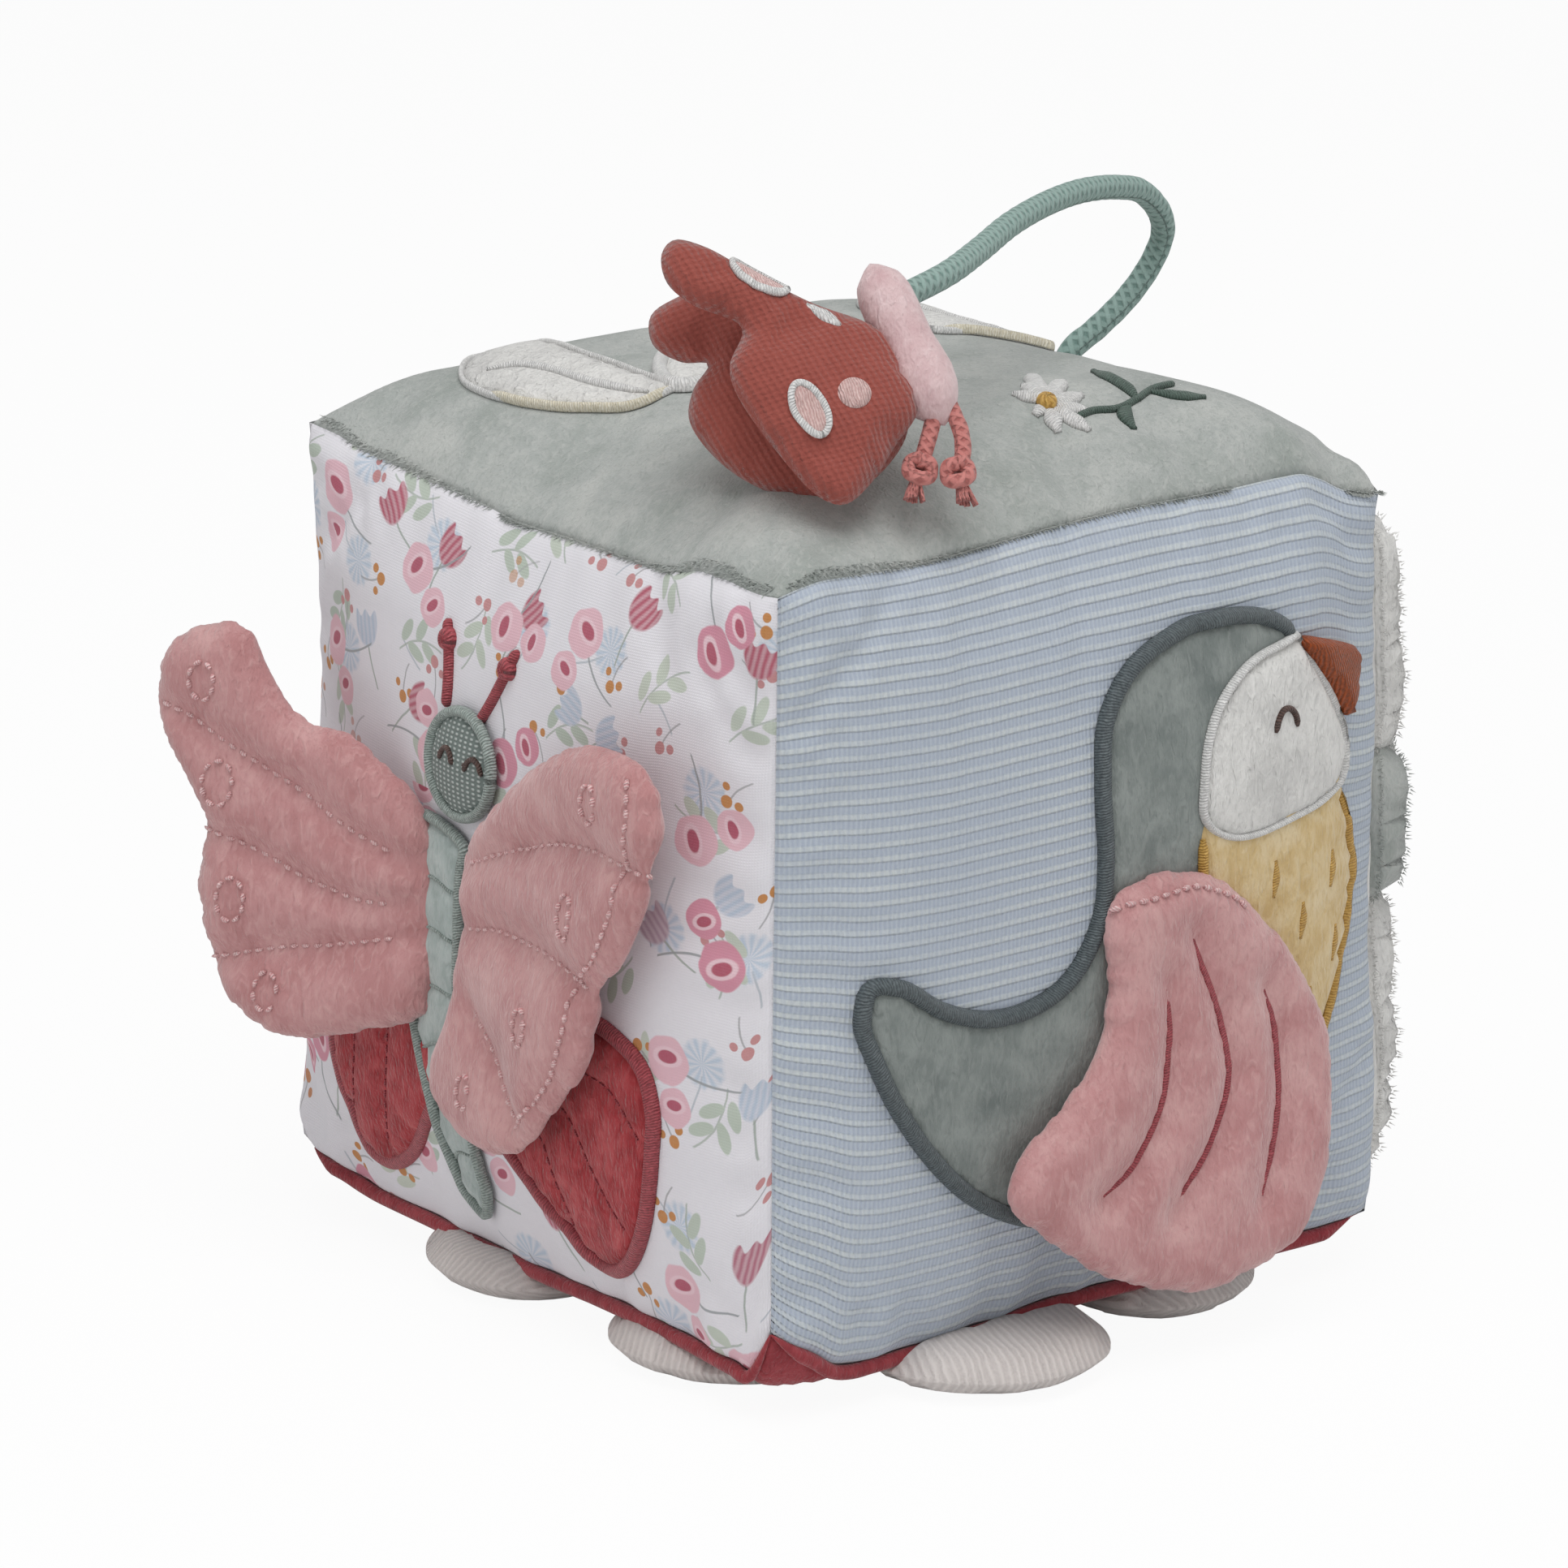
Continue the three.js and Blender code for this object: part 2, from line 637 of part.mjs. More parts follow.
// A padded shape on a cover: flat below, crowned above
function reliefOn(side, outline, middle, lift, height) {
  const centre = new THREE.Vector3(middle.u, middle.v, 0);
  const ring = (share, rise) => {
    return ringOf(outline, centre, share, (u, v) => pointOver(side, u, v, lift + rise));
  };
  const crown = reliefShares.map(([share, rise]) => ring(share, rise * height));
  const foot = reliefFootShares.map((share) => ring(share, 0));
  return loft([...foot, ...crown]);
}

// A round strand along a curve, with its radius as shares of a radius
function strand(curve, radius, radiusShares, count, extra = 0) {
  const last = radiusShares.length - 1;
  const frames = curve.computeFrenetFrames(last, false);
  const rings = radiusShares.map((share, station) => {
    const end = station === 0 ? -1 : Number(station === last);
    const centre = curve.getPointAt(station / last);
    centre.addScaledVector(frames.tangents[station], end * extra);
    if (share === 0) {
      return [centre];
    }
    return Array.from({ length: count }, (_, step) => {
      const angle = (2 * Math.PI * step) / count;
      const reach = radius * share + extra;
      return centre.clone()
        .addScaledVector(frames.normals[station], reach * Math.cos(angle))
        .addScaledVector(frames.binormals[station], reach * Math.sin(angle));
    });
  });
  return loft(rings);
}

// A padded wing: front cloth, back cloth and the padding between them, about its mid-plane
function addPaddedWing(group, name, outline, middle, thickness) {
  const half = thickness / 2;
  const inner = half - wingClothThickness;
  const layer = (share, height) => {
    return ringOf(outline, middle, share, (u, v) => new THREE.Vector3(u, v, height));
  };
  const cloth = (face) => loft([
    ...paddedFrontShares.map(([share, rise]) => layer(share, face * rise * half)),
    layer(1, (face * clearance) / 2),
    ...clothInnerShares.map(([share, rise]) => {
      return layer(share, face * Math.max(rise * inner, clearance / 2));
    }),
  ]);
  const soft = paddingHeightShare * (inner - clearance);
  const front = paddingShares.map(([share, rise]) => layer(share, rise * soft));
  const back = paddingShares.slice(0, -1).map(([share, rise]) => layer(share, -rise * soft));
  addPiece(group, `${name}_front_cloth`, cloth(1), finishes.pinkPlush);
  addPiece(group, `${name}_back_cloth`, cloth(-1), finishes.pinkPlush);
  addPiece(group, `${name}_padding`, loft([...front, ...back.reverse()]), finishes.fibre);
}

function addCoversAndFilling(cordTools) {
  const [hole, pocket] = cordTools;
  const covers = [
    ["butterfly_panel", sides.butterfly, finishes.floralCotton],
    ["bird_panel", sides.bird, finishes.stripedCotton],
    ["back_panel", sides.back, finishes.redPlush],
    ["bottom_panel", sides.bottom, finishes.redPlush],
  ];
  for (const [name, side, finish] of covers) {
    addPiece(block, name, coverSolid(side), finish);
  }
  const pierced = (side) => cut(coverSolid(side), hole, pocket);
  addPiece(block, "top_panel", pierced(sides.top), finishes.sagePlush);
  addPiece(block, "plush_panel", pierced(sides.plush), finishes.whitePlush);
  addPiece(block, "filling", cut(fillingSolid(), hole, pocket), finishes.fibre);
}

// The height of the bottom cover over the floor, without limit outside the cube
function undersideHeight(x, y) {
  if (Math.max(Math.abs(x), Math.abs(y)) >= halfWidth) {
    return Infinity;
  }
  return cubeMiddleHeight - pointOver(sides.bottom, x, -y, 0).z;
}

function addFlower() {
  const middle = { u: petalInnerRadius, v: 0 };
  const outline = outlineOf(petalShares, petalLength, petalWidth, middle, petalPoints);
  const centre = new THREE.Vector3(petalInnerRadius + petalMiddleShare * petalLength, 0, 0);
  for (let index = 0; index < petalCount; index += 1) {
    const angle = THREE.MathUtils.degToRad(petalFirstAngle + (360 / petalCount) * index);
    const place = (height) => (radial, lateral) => {
      const x = radial * Math.cos(angle) - lateral * Math.sin(angle);
      const y = radial * Math.sin(angle) + lateral * Math.cos(angle) - flowerForward;
      const room = undersideHeight(x, y) - clearance - seamGap;
      return new THREE.Vector3(x, y, Math.min(height, room));
    };
    const foot = [0, petalFootShare].map((share) => ringOf(outline, centre, share, place(0)));
    const crown = petalTopShares.map(([share, rise]) => {
      return ringOf(outline, centre, share, place(rise * petalHeight));
    });
    addPiece(block, `petal_${index + 1}`, loft([...foot, ...crown]), finishes.ribbedCotton);
  }
  const room = undersideHeight(0, -flowerForward) - clearance - seamGap;
  const rim = flowerCentreShares.map(([reach, rise]) => {
    return new THREE.Vector2(reach * flowerCentreRadius, rise * room);
  });
  const button = new THREE.LatheGeometry(rim, flowerCentrePoints).rotateX(Math.PI / 2);
  button.translate(0, -flowerForward, 0);
  addPiece(block, "flower_centre", button, finishes.ribbedCotton);
}

function addButterflyWing(side, name, hand, lift, shape, standOff, rise) {
  const hinge = new THREE.Group();
  const root = wingRootMiddle + (hand * wingRootSpacing) / 2;
  hinge.position.set(root, wingRootHeight + rise, side.halfDepth + side.crown + standOff);
  hinge.rotation.y = THREE.MathUtils.degToRad(-hand * lift);
  sideGroup(side).add(hinge);
  const size = [hand * shape.width, shape.height];
  const outline = outlineOf(shape.shares, ...size, { u: 0, v: 0 }, wingPoints);
  const [u, v] = wingMiddleShare;
  const middle = new THREE.Vector3(u * size[0], v * size[1], 0);
  addPaddedWing(hinge, name, outline, middle, wingThickness);
}

function abdomenOutline() {
  const line = abdomenLineShares.map(([u, v]) => {
    return new THREE.Vector3(abdomenTop.u + u * abdomenLength, abdomenTop.v + v * abdomenLength, 0);
  });
  const side = (hand) => line.map((point, index) => {
    const reach = (hand * abdomenWidthShares[index] * abdomenWidth) / 2;
    return new THREE.Vector3(point.x + reach, point.y, 0);
  });
  const curve = new THREE.CatmullRomCurve3([...side(1), ...side(-1).reverse()], true, "centripetal");
  return curve.getSpacedPoints(lowerWingPoints).slice(0, lowerWingPoints);
}

function addLowerWing(group, name, hand, widthShare, inset) {
  const width = hand * widthShare * lowerWingWidth;
  const middle = { u: lowerWingAxis + hand * inset, v: lowerWingMiddleHeight };
  const outline = outlineOf(lowerWingShares, width, lowerWingHeight, middle, lowerWingPoints);
  const side = sides.butterfly;
  const patch = appliqueOn(side, outline, appliqueLift, lowerWingThickness);
  const border = borderOn(side, outline, appliqueLift, lowerBorderWidth, lowerBorderHeight);
  addPiece(group, `lower_wing_${name}`, patch, finishes.velvet);
  addPiece(group, `lower_wing_border_${name}`, border, finishes.redSatin);
}

function addAntenna(group, name, foot, reach) {
  const radius = antennaDiameter / 2;
  const lift = clearance + radius;
  const start = headMiddle.v + headHeight / 2 + radius + clearance;
  const stations = antennaStationShares.map((share) => {
    return pointOver(sides.butterfly, foot + reach * share ** 2, start + antennaRise * share, lift);
  });
  const knotShare = antennaKnotDiameter / antennaDiameter;
  const shares = [0, 1, 1, 1, knotShare, 1, antennaTipShare, 0];
  const curve = new THREE.CatmullRomCurve3(stations);
  addPiece(group, name, strand(curve, radius, shares, antennaSides), finishes.redSatin);
}

function addButterfly() {
  const side = sides.butterfly;
  const group = sideGroup(side);
  const head = outlineOf(ovalShares, headWidth, headHeight, headMiddle, patchPoints);
  const headPad = reliefOn(side, head, headMiddle, appliqueLift, headPadding);
  addPiece(group, "butterfly_head", headPad, finishes.sageSatin);
  const abdomen = appliqueOn(side, abdomenOutline(), appliqueLift, abdomenThickness);
  addPiece(group, "butterfly_abdomen", abdomen, finishes.mintPlush);
  addLowerWing(group, "near", 1, 1, lowerWingInset);
  addLowerWing(group, "far", -1, farLowerWingWidthShare, farLowerWingInset);
  addAntenna(group, "antenna_near", headMiddle.u + antennaSpacing / 2, nearAntennaReach);
  addAntenna(group, "antenna_far", headMiddle.u - antennaSpacing / 2, farAntennaReach);
  const near = { width: wingWidth, height: wingHeight, shares: wingOutlineShares };
  const far = { width: farWingWidth, height: farWingHeight, shares: farWingOutlineShares };
  addButterflyWing(side, "near_wing", 1, nearWingLift, near, nearWingStandOff, 0);
  addButterflyWing(side, "far_wing", -1, farWingLift, far, farWingStandOff, farWingRootRise);
}

function addBird() {
  const side = sides.bird;
  const group = sideGroup(side);
  const body = outlineOf(birdShares, birdWidth, birdHeight, birdMiddle, birdPoints);
  const face = outlineOf(ovalShares, faceWidth, faceHeight, faceMiddle, patchPoints);
  const belly = outlineOf(bellyShares, bellyWidth, bellyHeight, bellyMiddle, patchPoints);
  const beak = outlineOf(beakShares, beakLength, beakHeight, beakRoot, beakPoints);
  const upper = appliqueLift + birdThickness + clearance;
  const overBorder = appliqueLift + birdBorderHeight + clearance;
  const border = borderOn(side, body, appliqueLift, birdBorderWidth, birdBorderHeight);
  const overFace = overBorder + birdThickness + clearance;
  const faceBorder = borderOn(side, face, overBorder, faceBorderWidth, birdThickness);
  addPiece(group, "bird_body", appliqueOn(side, body, appliqueLift, birdThickness), finishes.greyPlush);
  addPiece(group, "bird_border", border, finishes.greySatin);
  addPiece(group, "bird_face", appliqueOn(side, face, overBorder, birdThickness), finishes.whitePlush);
  addPiece(group, "bird_face_border", faceBorder, finishes.whiteSatin);
  addPiece(group, "bird_belly", appliqueOn(side, belly, upper, birdThickness), finishes.yellowPlush);
  addPiece(group, "bird_beak", appliqueOn(side, beak, overFace, birdThickness), finishes.rustSatin);

  const hinge = new THREE.Group();
  const depth = side.halfDepth + side.crown + birdWingStandOff;
  hinge.position.set(birdWingRoot.u, birdWingRoot.v, depth);
  hinge.rotation.x = THREE.MathUtils.degToRad(-birdWingLift);
  group.add(hinge);
  const wing = outlineOf(birdWingShares, birdWingWidth, birdWingHeight, { u: 0, v: 0 }, birdWingPoints);
  const [u, v] = birdWingMiddleShare;
  const middle = new THREE.Vector3(u * birdWingWidth, v * birdWingHeight, 0);
  addPaddedWing(hinge, "bird_wing", wing, middle, birdWingThickness);
}

function addTopMotif() {
  const side = sides.top;
  const group = sideGroup(side);
  const leaf = (place, length, width) => {
    return outlineOf(leafShares, length, width, place, patchPoints, place.turn);
  };
  const pieces = [
    ["motif_wing_left", leaf(leftMotifWing, motifWingLength, motifWingWidth)],
    ["motif_wing_right", leaf(rightMotifWing, motifWingLength, motifWingWidth)],
    ["motif_body", leaf(motifBody, motifBodyLength, motifBodyWidth)],
  ];
  for (const [name, outline] of pieces) {
    addPiece(group, name, appliqueOn(side, outline, reliefLift, motifThickness), finishes.whitePlush);
  }
  const daisy = Array.from({ length: daisyPoints }, (_, step) => {
    const angle = (2 * Math.PI * step) / daisyPoints;
    const { middle, swing } = daisyReachShares;
    const reach = daisyRadius * (middle + swing * Math.cos(daisyPetals * angle));
    const u = daisyMiddle.u + reach * Math.cos(angle);
    return new THREE.Vector3(u, daisyMiddle.v + reach * Math.sin(angle), 0);
  });
  const flower = reliefOn(side, daisy, daisyMiddle, reliefLift, daisyThickness);
  addPiece(group, "daisy", flower, finishes.whiteSatin);
}

function addPlushRelief() {
  const side = sides.plush;
  const group = sideGroup(side);
  const reliefs = [
    ["relief_body", bunShares, reliefBodyWidth, reliefBodyHeight, reliefBodyPadding, reliefBodyMiddle],
    ["relief_head", bunShares, reliefHeadWidth, reliefHeadHeight, reliefHeadPadding, reliefHeadMiddle],
    ["relief_ear", ovalShares, earWidth, earHeight, earPadding, earMiddle],
    ["relief_scarf", bandShares, scarfWidth, scarfHeight, scarfPadding, scarfMiddle],
  ];
  for (const [name, shares, width, height, padding, middle] of reliefs) {
    const outline = outlineOf(shares, width, height, middle, reliefPoints);
    const pad = reliefOn(side, outline, middle, reliefLift, padding);
    addPiece(group, name, pad, name === "relief_scarf" ? finishes.sagePlush : finishes.whitePlush);
  }
}

// The toy's own frame: u to the right and v up in its plane, and out towards the viewer
function toyGroup() {
  const stand = new THREE.Group();
  stand.position.set(toyCentre.x, toyCentre.y, toyCentre.z);
  stand.rotation.z = THREE.MathUtils.degToRad(-toyTurn);
  const lean = new THREE.Group();
  lean.rotation.x = THREE.MathUtils.degToRad(90 - toyLean);
  stand.add(lean);
  block.add(stand);
  return lean;
}

function toyBodyCurve() {
  const tilt = THREE.MathUtils.degToRad(toyBodyTilt);
  const half = new THREE.Vector3(Math.sin(tilt), -Math.cos(tilt), 0).multiplyScalar(toyBodyLength / 2);
  const middle = new THREE.Vector3(toyBodyMiddle.u, toyBodyMiddle.v, 0);
  return new THREE.LineCurve3(middle.clone().sub(half), middle.clone().add(half));
}

function toyBodySolid(extra) {
  return strand(toyBodyCurve(), toyBodyDiameter / 2, toyBodyRadiusShares, toyBodySides, extra);
}

// A toy wing is cut where it meets the body, and swung about the body's line
function toyWingSolid(shares, middle, hand) {
  const offset = hand * toyWingOffset;
  const outline = outlineOf(shares, toyWingWidth, toyWingHeight, middle, toyWingPoints);
  const [u, v] = toyWingMiddleShare;
  const centre = new THREE.Vector3(middle.u + u * toyWingWidth, middle.v + v * toyWingHeight, 0);
  const rings = [];
  for (const face of [1, -1]) {
    const layers = stuffedShares.filter(([share]) => face > 0 || share < 1).map(([share, rise]) => {
      const height = (face * rise * toyWingThickness) / 2 + offset;
      return ringOf(outline, centre, share, (x, y) => new THREE.Vector3(x, y, height));
    });
    rings.push(...(face > 0 ? layers : layers.reverse()));
  }
  const wing = loft(rings);
  const line = toyBodyCurve();
  const start = line.v1;
  const axis = line.v2.clone().sub(start).normalize();
  const swing = new THREE.Matrix4().makeTranslation(start)
    .multiply(new THREE.Matrix4().makeRotationAxis(axis, THREE.MathUtils.degToRad(-hand * toyWingOpening)))
    .multiply(new THREE.Matrix4().makeTranslation(start.clone().negate()));
  return cut(wing.applyMatrix4(swing), toyBodySolid(clearance + seamGap / 2));
}

function ballAt(centre, extra) {
  const ball = new THREE.SphereGeometry(cordDiameter / 2 + extra, cordBallSegments, cordBallSegments);
  return ball.translate(...centre.toArray());
}

function rodAlong(from, direction, length, diameter) {
  const rod = new THREE.CylinderGeometry(diameter / 2, diameter / 2, length, rodSides);
  const turn = new THREE.Quaternion().setFromUnitVectors(new THREE.Vector3(0, 1, 0), direction);
  rod.applyQuaternion(turn);
  const middle = from.clone().addScaledVector(direction, length / 2);
  return rod.translate(...middle.toArray());
}

// A knotted antenna cord that hangs from the lower end of the toy's body
function toyAntennaSolid(stations) {
  const points = stations.map(([u, v, out]) => new THREE.Vector3(u, v, out));
  const knotShare = toyKnotDiameter / toyAntennaDiameter;
  const shares = [0, 1, 1, 1, 1, 1, knotShare, knotShare, ...toyAntennaEndShares];
  const antenna = strand(new THREE.CatmullRomCurve3(points), toyAntennaDiameter / 2, shares, cordSides);
  return cut(antenna, toyBodySolid(clearance));
}

function addToy() {
  const group = toyGroup();
  const dimple = ballAt(new THREE.Vector3(cordToyEnd.u, cordToyEnd.v, 0), cordBallClearance);
  addPiece(group, "toy_body", cut(toyBodySolid(0), dimple), finishes.pinkPlush);
  const front = toyWingSolid(toyFrontWingShares, toyFrontWingMiddle, 1);
  const back = toyWingSolid(toyBackWingShares, toyBackWingMiddle, -1);
  addPiece(group, "toy_front_wings", front, finishes.rustKnit);
  addPiece(group, "toy_back_wings", back, finishes.rustKnit);
  addPiece(group, "toy_antenna_near", toyAntennaSolid(toyNearAntenna), finishes.pinkCord);
  addPiece(group, "toy_antenna_far", toyAntennaSolid(toyFarAntenna), finishes.pinkCord);
  group.updateWorldMatrix(true, false);
  return group.matrixWorld;
}

// The free cord has a round end in the seam and one at the toy, so that it can turn there.
// It comes with its sewn-in end, and with the hole and pocket that this needs.
function cordPieces(toyMatrix) {
  const route = cordRoute.map((point) => new THREE.Vector3(...point));
  const seamEnd = route[0];
  const toyEnd = new THREE.Vector3(cordToyEnd.u, cordToyEnd.v, 0).applyMatrix4(toyMatrix);
  const curve = new THREE.CatmullRomCurve3([...route, toyEnd], false, "centripetal");
  const section = new THREE.Shape().absarc(0, 0, cordDiameter / 2, 0, 2 * Math.PI);
  const profile = new THREE.Shape(section.getSpacedPoints(cordSides).slice(0, cordSides));
  const tube = new THREE.ExtrudeGeometry(profile, { extrudePath: curve, steps: cordSteps });
  const cord = join(tube, ballAt(seamEnd, 0), ballAt(toyEnd, 0));

  const inward = curve.getTangent(0).negate();
  const sunk = seamEnd.clone().addScaledVector(inward, cordSunkLength);
  const overlap = sunk.clone().addScaledVector(inward, -clearance);
  const stub = rodAlong(seamEnd, inward, cordSunkLength, cordDiameter);
  const bulge = rodAlong(overlap, inward, cordStitchLength, cordStitchDiameter);
  const stitch = cut(join(stub, bulge), ballAt(seamEnd, cordBallClearance));
  const holeDiameter = cordDiameter + 2 * cordHoleClearance;
  const hole = rodAlong(seamEnd, inward, cordSunkLength, holeDiameter);
  const pocketStart = overlap.clone().addScaledVector(inward, -clearance);
  const pocketDiameter = cordStitchDiameter + 2 * clearance;
  const pocket = rodAlong(pocketStart, inward, cordStitchLength + 2 * clearance, pocketDiameter);
  return { cord, stitch, hole, pocket };
}

const cordSet = cordPieces(addToy());
addCoversAndFilling([cordSet.hole, cordSet.pocket]);
addFlower();
addButterfly();
addBird();
addTopMotif();
addPlushRelief();
addPiece(block, "cord_stitched_end", cordSet.stitch, finishes.sageCord);
addPiece(block, "cord", cordSet.cord, finishes.sageCord);

export default block;
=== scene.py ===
"""Looks of a soft fabric activity block: a stuffed cube with a butterfly, a bird, a toy on a
cord and a stuffed flower under it. Sizes are in millimetres until a mesh is made.
"""

import math

import bpy
import numpy as np
from mathutils import Matrix, Vector
from mathutils.bvhtree import BVHTree
from mathutils.geometry import delaunay_2d_cdt


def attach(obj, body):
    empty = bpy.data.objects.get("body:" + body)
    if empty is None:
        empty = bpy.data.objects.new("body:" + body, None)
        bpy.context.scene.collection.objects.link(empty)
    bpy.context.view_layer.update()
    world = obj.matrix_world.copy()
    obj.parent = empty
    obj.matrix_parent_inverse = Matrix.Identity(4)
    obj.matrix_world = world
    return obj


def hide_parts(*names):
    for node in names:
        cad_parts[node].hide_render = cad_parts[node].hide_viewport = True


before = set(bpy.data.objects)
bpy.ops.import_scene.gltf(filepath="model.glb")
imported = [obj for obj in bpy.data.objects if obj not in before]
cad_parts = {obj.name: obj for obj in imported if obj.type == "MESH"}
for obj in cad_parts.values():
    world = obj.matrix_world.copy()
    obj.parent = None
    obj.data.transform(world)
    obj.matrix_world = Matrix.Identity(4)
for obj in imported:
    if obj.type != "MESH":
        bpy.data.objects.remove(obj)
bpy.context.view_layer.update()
MM = 0.001
scene = bpy.context.scene

# Camera
AZIMUTH, ELEVATION, ROLL = math.radians(-38.614), math.radians(17.384), -0.025
BLOCK_MIDDLE = np.array([0.0, 0.0, 88.0])
DISTANCE, LENS, FILM = 1500.0, 172.25, 36.0
AIM_ASIDE, AIM_RISE = -10.86, 6.49
right = np.array([math.cos(AZIMUTH), math.sin(AZIMUTH), 0.0])
level = np.array([math.sin(AZIMUTH), -math.cos(AZIMUTH), 0.0])
back = level * math.cos(ELEVATION) + (0, 0, math.sin(ELEVATION))
up = np.cross(back, right)
eye = BLOCK_MIDDLE + back * DISTANCE
out = eye - (BLOCK_MIDDLE + AIM_ASIDE * right + AIM_RISE * up)
out /= np.linalg.norm(out)
across = math.cos(ROLL) * right - math.sin(ROLL) * up
across -= out * (across @ out)
across /= np.linalg.norm(across)
camera = bpy.data.objects.new("camera", bpy.data.cameras.new("camera"))
camera.data.lens, camera.data.sensor_width, camera.data.clip_end = LENS, FILM, 100
columns = np.column_stack([across, np.cross(out, across), out, eye * MM])
camera.matrix_world = Matrix(columns.tolist() + [[0, 0, 0, 1]])
scene.collection.objects.link(camera)
scene.camera = camera
scene.view_settings.view_transform = "Standard"


# Materials
def step(kind):
    """A method that adds one math node of a kind."""
    return lambda number, *others: number.mat.math(kind, number, *others)


class Num:
    """A number in a material's nodes, which adds nodes as it is worked with."""

    __add__ = __radd__ = step("ADD")
    __mul__ = __rmul__ = step("MULTIPLY")
    __sub__, __truediv__ = step("SUBTRACT"), step("DIVIDE")
    sin, cos, abs, fract = map(step, ("SINE", "COSINE", "ABSOLUTE", "FRACT"))

    def __init__(self, mat, out):
        self.mat, self.out = mat, out

    def __rsub__(self, other):
        return self.mat.math("SUBTRACT", other, self)

    def wave(self, pitch, phase=0.0):
        """From 0 to 1 and back once in each pitch."""
        return (self * (2 * math.pi / pitch) + phase).sin() * 0.5 + 0.5

    def below(self, limit, soft):
        """1 under the limit and 0 over it, over a soft edge."""
        return self.mat.clamp((limit - self) * (1 / soft) + 0.5)


def rgb(code):
    """A colour as written on a screen, in linear light."""
    parts = [int(code[i : i + 2], 16) / 255 for i in (1, 3, 5)]
    return tuple(c / 12.92 if c < 0.04045 else ((c + 0.055) / 1.055) ** 2.4 for c in parts) + (1,)


class Cloth:
    """A procedural material. Its own space is the mesh in millimetres."""

    def __init__(self, name, rough, sheen, sheen_rough, specular):
        self.data = bpy.data.materials.new(name)
        self.data.use_nodes = True
        self.tree = self.data.node_tree
        self.inputs = self.tree.nodes["Principled BSDF"].inputs
        keys = ("Roughness", "Sheen Weight", "Sheen Roughness", "Specular IOR Level")
        for key, value in zip(keys, (rough, sheen, sheen_rough, specular)):
            self.inputs[key].default_value = value

    def put(self, socket, value):
        value = value.out if isinstance(value, Num) else value
        if isinstance(value, bpy.types.NodeSocket):
            self.tree.links.new(value, socket)
        else:
            socket.default_value = rgb(value) if isinstance(value, str) else value

    def node(self, kind, values, **settings):
        node = self.tree.nodes.new("ShaderNode" + kind)
        for key, value in settings.items():
            setattr(node, key, value)
        for key, value in values.items():
            self.put(node.inputs[key], value)
        return node

    def math(self, kind, *values):
        return Num(self, self.node("Math", dict(enumerate(values)), operation=kind).outputs[0])

    def vector_math(self, kind, first, second):
        return self.node("VectorMath", {0: first, 1: second}, operation=kind).outputs[0]

    def parts(self, vector):
        outputs = self.node("SeparateXYZ", {0: vector}).outputs
        return [Num(self, part) for part in outputs]

    def clamp(self, value):
        return Num(self, self.node("Clamp", {0: value}).outputs[0])

    def place(self):
        """The piece's own coordinates, in millimetres."""
        where = self.node("TexCoord", {}).outputs["Object"]
        return self.vector_math("MULTIPLY", where, (1000, 1000, 1000))

    def cloth(self):
        """The two coordinates along the cloth, which the mesh carries, in millimetres."""
        return self.parts(self.node("Attribute", {}, attribute_name="cloth").outputs["Vector"])[:2]

    def noise(self, size, detail=3.0, vector=None, distortion=0.0, seed=0.0):
        """Noise from 0 to 1 with features of about that many millimetres."""
        moved = self.vector_math("ADD", vector or self.place(), (seed, seed, seed))
        values = {"Vector": moved, "Scale": 1 / size, "Detail": detail, "Distortion": distortion}
        return Num(self, self.node("TexNoise", values).outputs["Fac"])

    def mix(self, share, first, second):
        return self.node("Mix", {0: share, 6: first, 7: second}, data_type="RGBA").outputs[2]

    def done(self, colour, *bumps):
        """Sets the colour and the bumps, each a height in shares and a depth in millimetres."""
        normal = {}
        for height, depth in bumps:
            values = {"Height": height, "Distance": depth * MM, "Strength": 1.0, **normal}
            normal = {"Normal": self.node("Bump", values).outputs[0]}
        for key, value in {"Base Color": colour, **normal}.items():
            self.put(self.inputs[key], value)
        return self.data


def plush(name, colour, dark, light, nap=9.0, pile=0.5, depth=0.22, sheen=0.35, fibre_shade=0.35):
    """Short pile: stroked patches, fine fibres that lie one way, painted shade and highlights on the
    pile and a soft sheen at the rim.
    """
    mat = Cloth(name, 0.95, sheen, 0.45, 0.1)
    share = mat.clamp((mat.noise(nap, 2.0, distortion=0.6) - 0.5) * 1.6 + 0.5)
    base = mat.mix(mat.clamp(share * 2), dark, colour)
    base = mat.mix(mat.clamp(share * 2 - 1), base, light)
    stroked = mat.vector_math("MULTIPLY", mat.place(), (1, 1, 0.4))
    fibre = mat.noise(pile, 2.0, seed=7.0, vector=stroked)
    tuft = mat.noise(1.7, 3.0, distortion=1.2, seed=3.0, vector=stroked)
    # painted shade: darker where the fibres are low, where their bumps sink
    base = mat.mix(mat.clamp((0.5 - fibre) * 4) * fibre_shade, base, dark)
    # painted highlight on the tops of the tufts and painted shade in their hollows, where the tuft bumps
    # rise and sink
    base = mat.mix(mat.clamp((tuft - 0.5) * 5) * 0.45, base, light)
    base = mat.mix(mat.clamp((0.47 - tuft) * 5) * 0.45, base, dark)
    return mat.done(base, (tuft, depth * 1.8), (fibre, depth * 1.2))


def satin(name, colour, dark, pitch=0.55):
    """Satin stitch: shiny threads side by side across the line."""
    mat = Cloth(name, 0.5, 0.1, 0.3, 0.45)
    u, v = mat.cloth()
    thread = (u + v * 0.3 + mat.noise(1.6, 3.0) * 0.8).wave(pitch)
    shade = mat.clamp(thread * 0.6 + (mat.noise(0.7, 2.0) - 0.35) * 1.3)
    fine = mat.noise(0.6, 2.0, seed=9.0)
    return mat.done(mat.mix(shade, dark, colour), (thread, 0.2), (fine, 0.12))


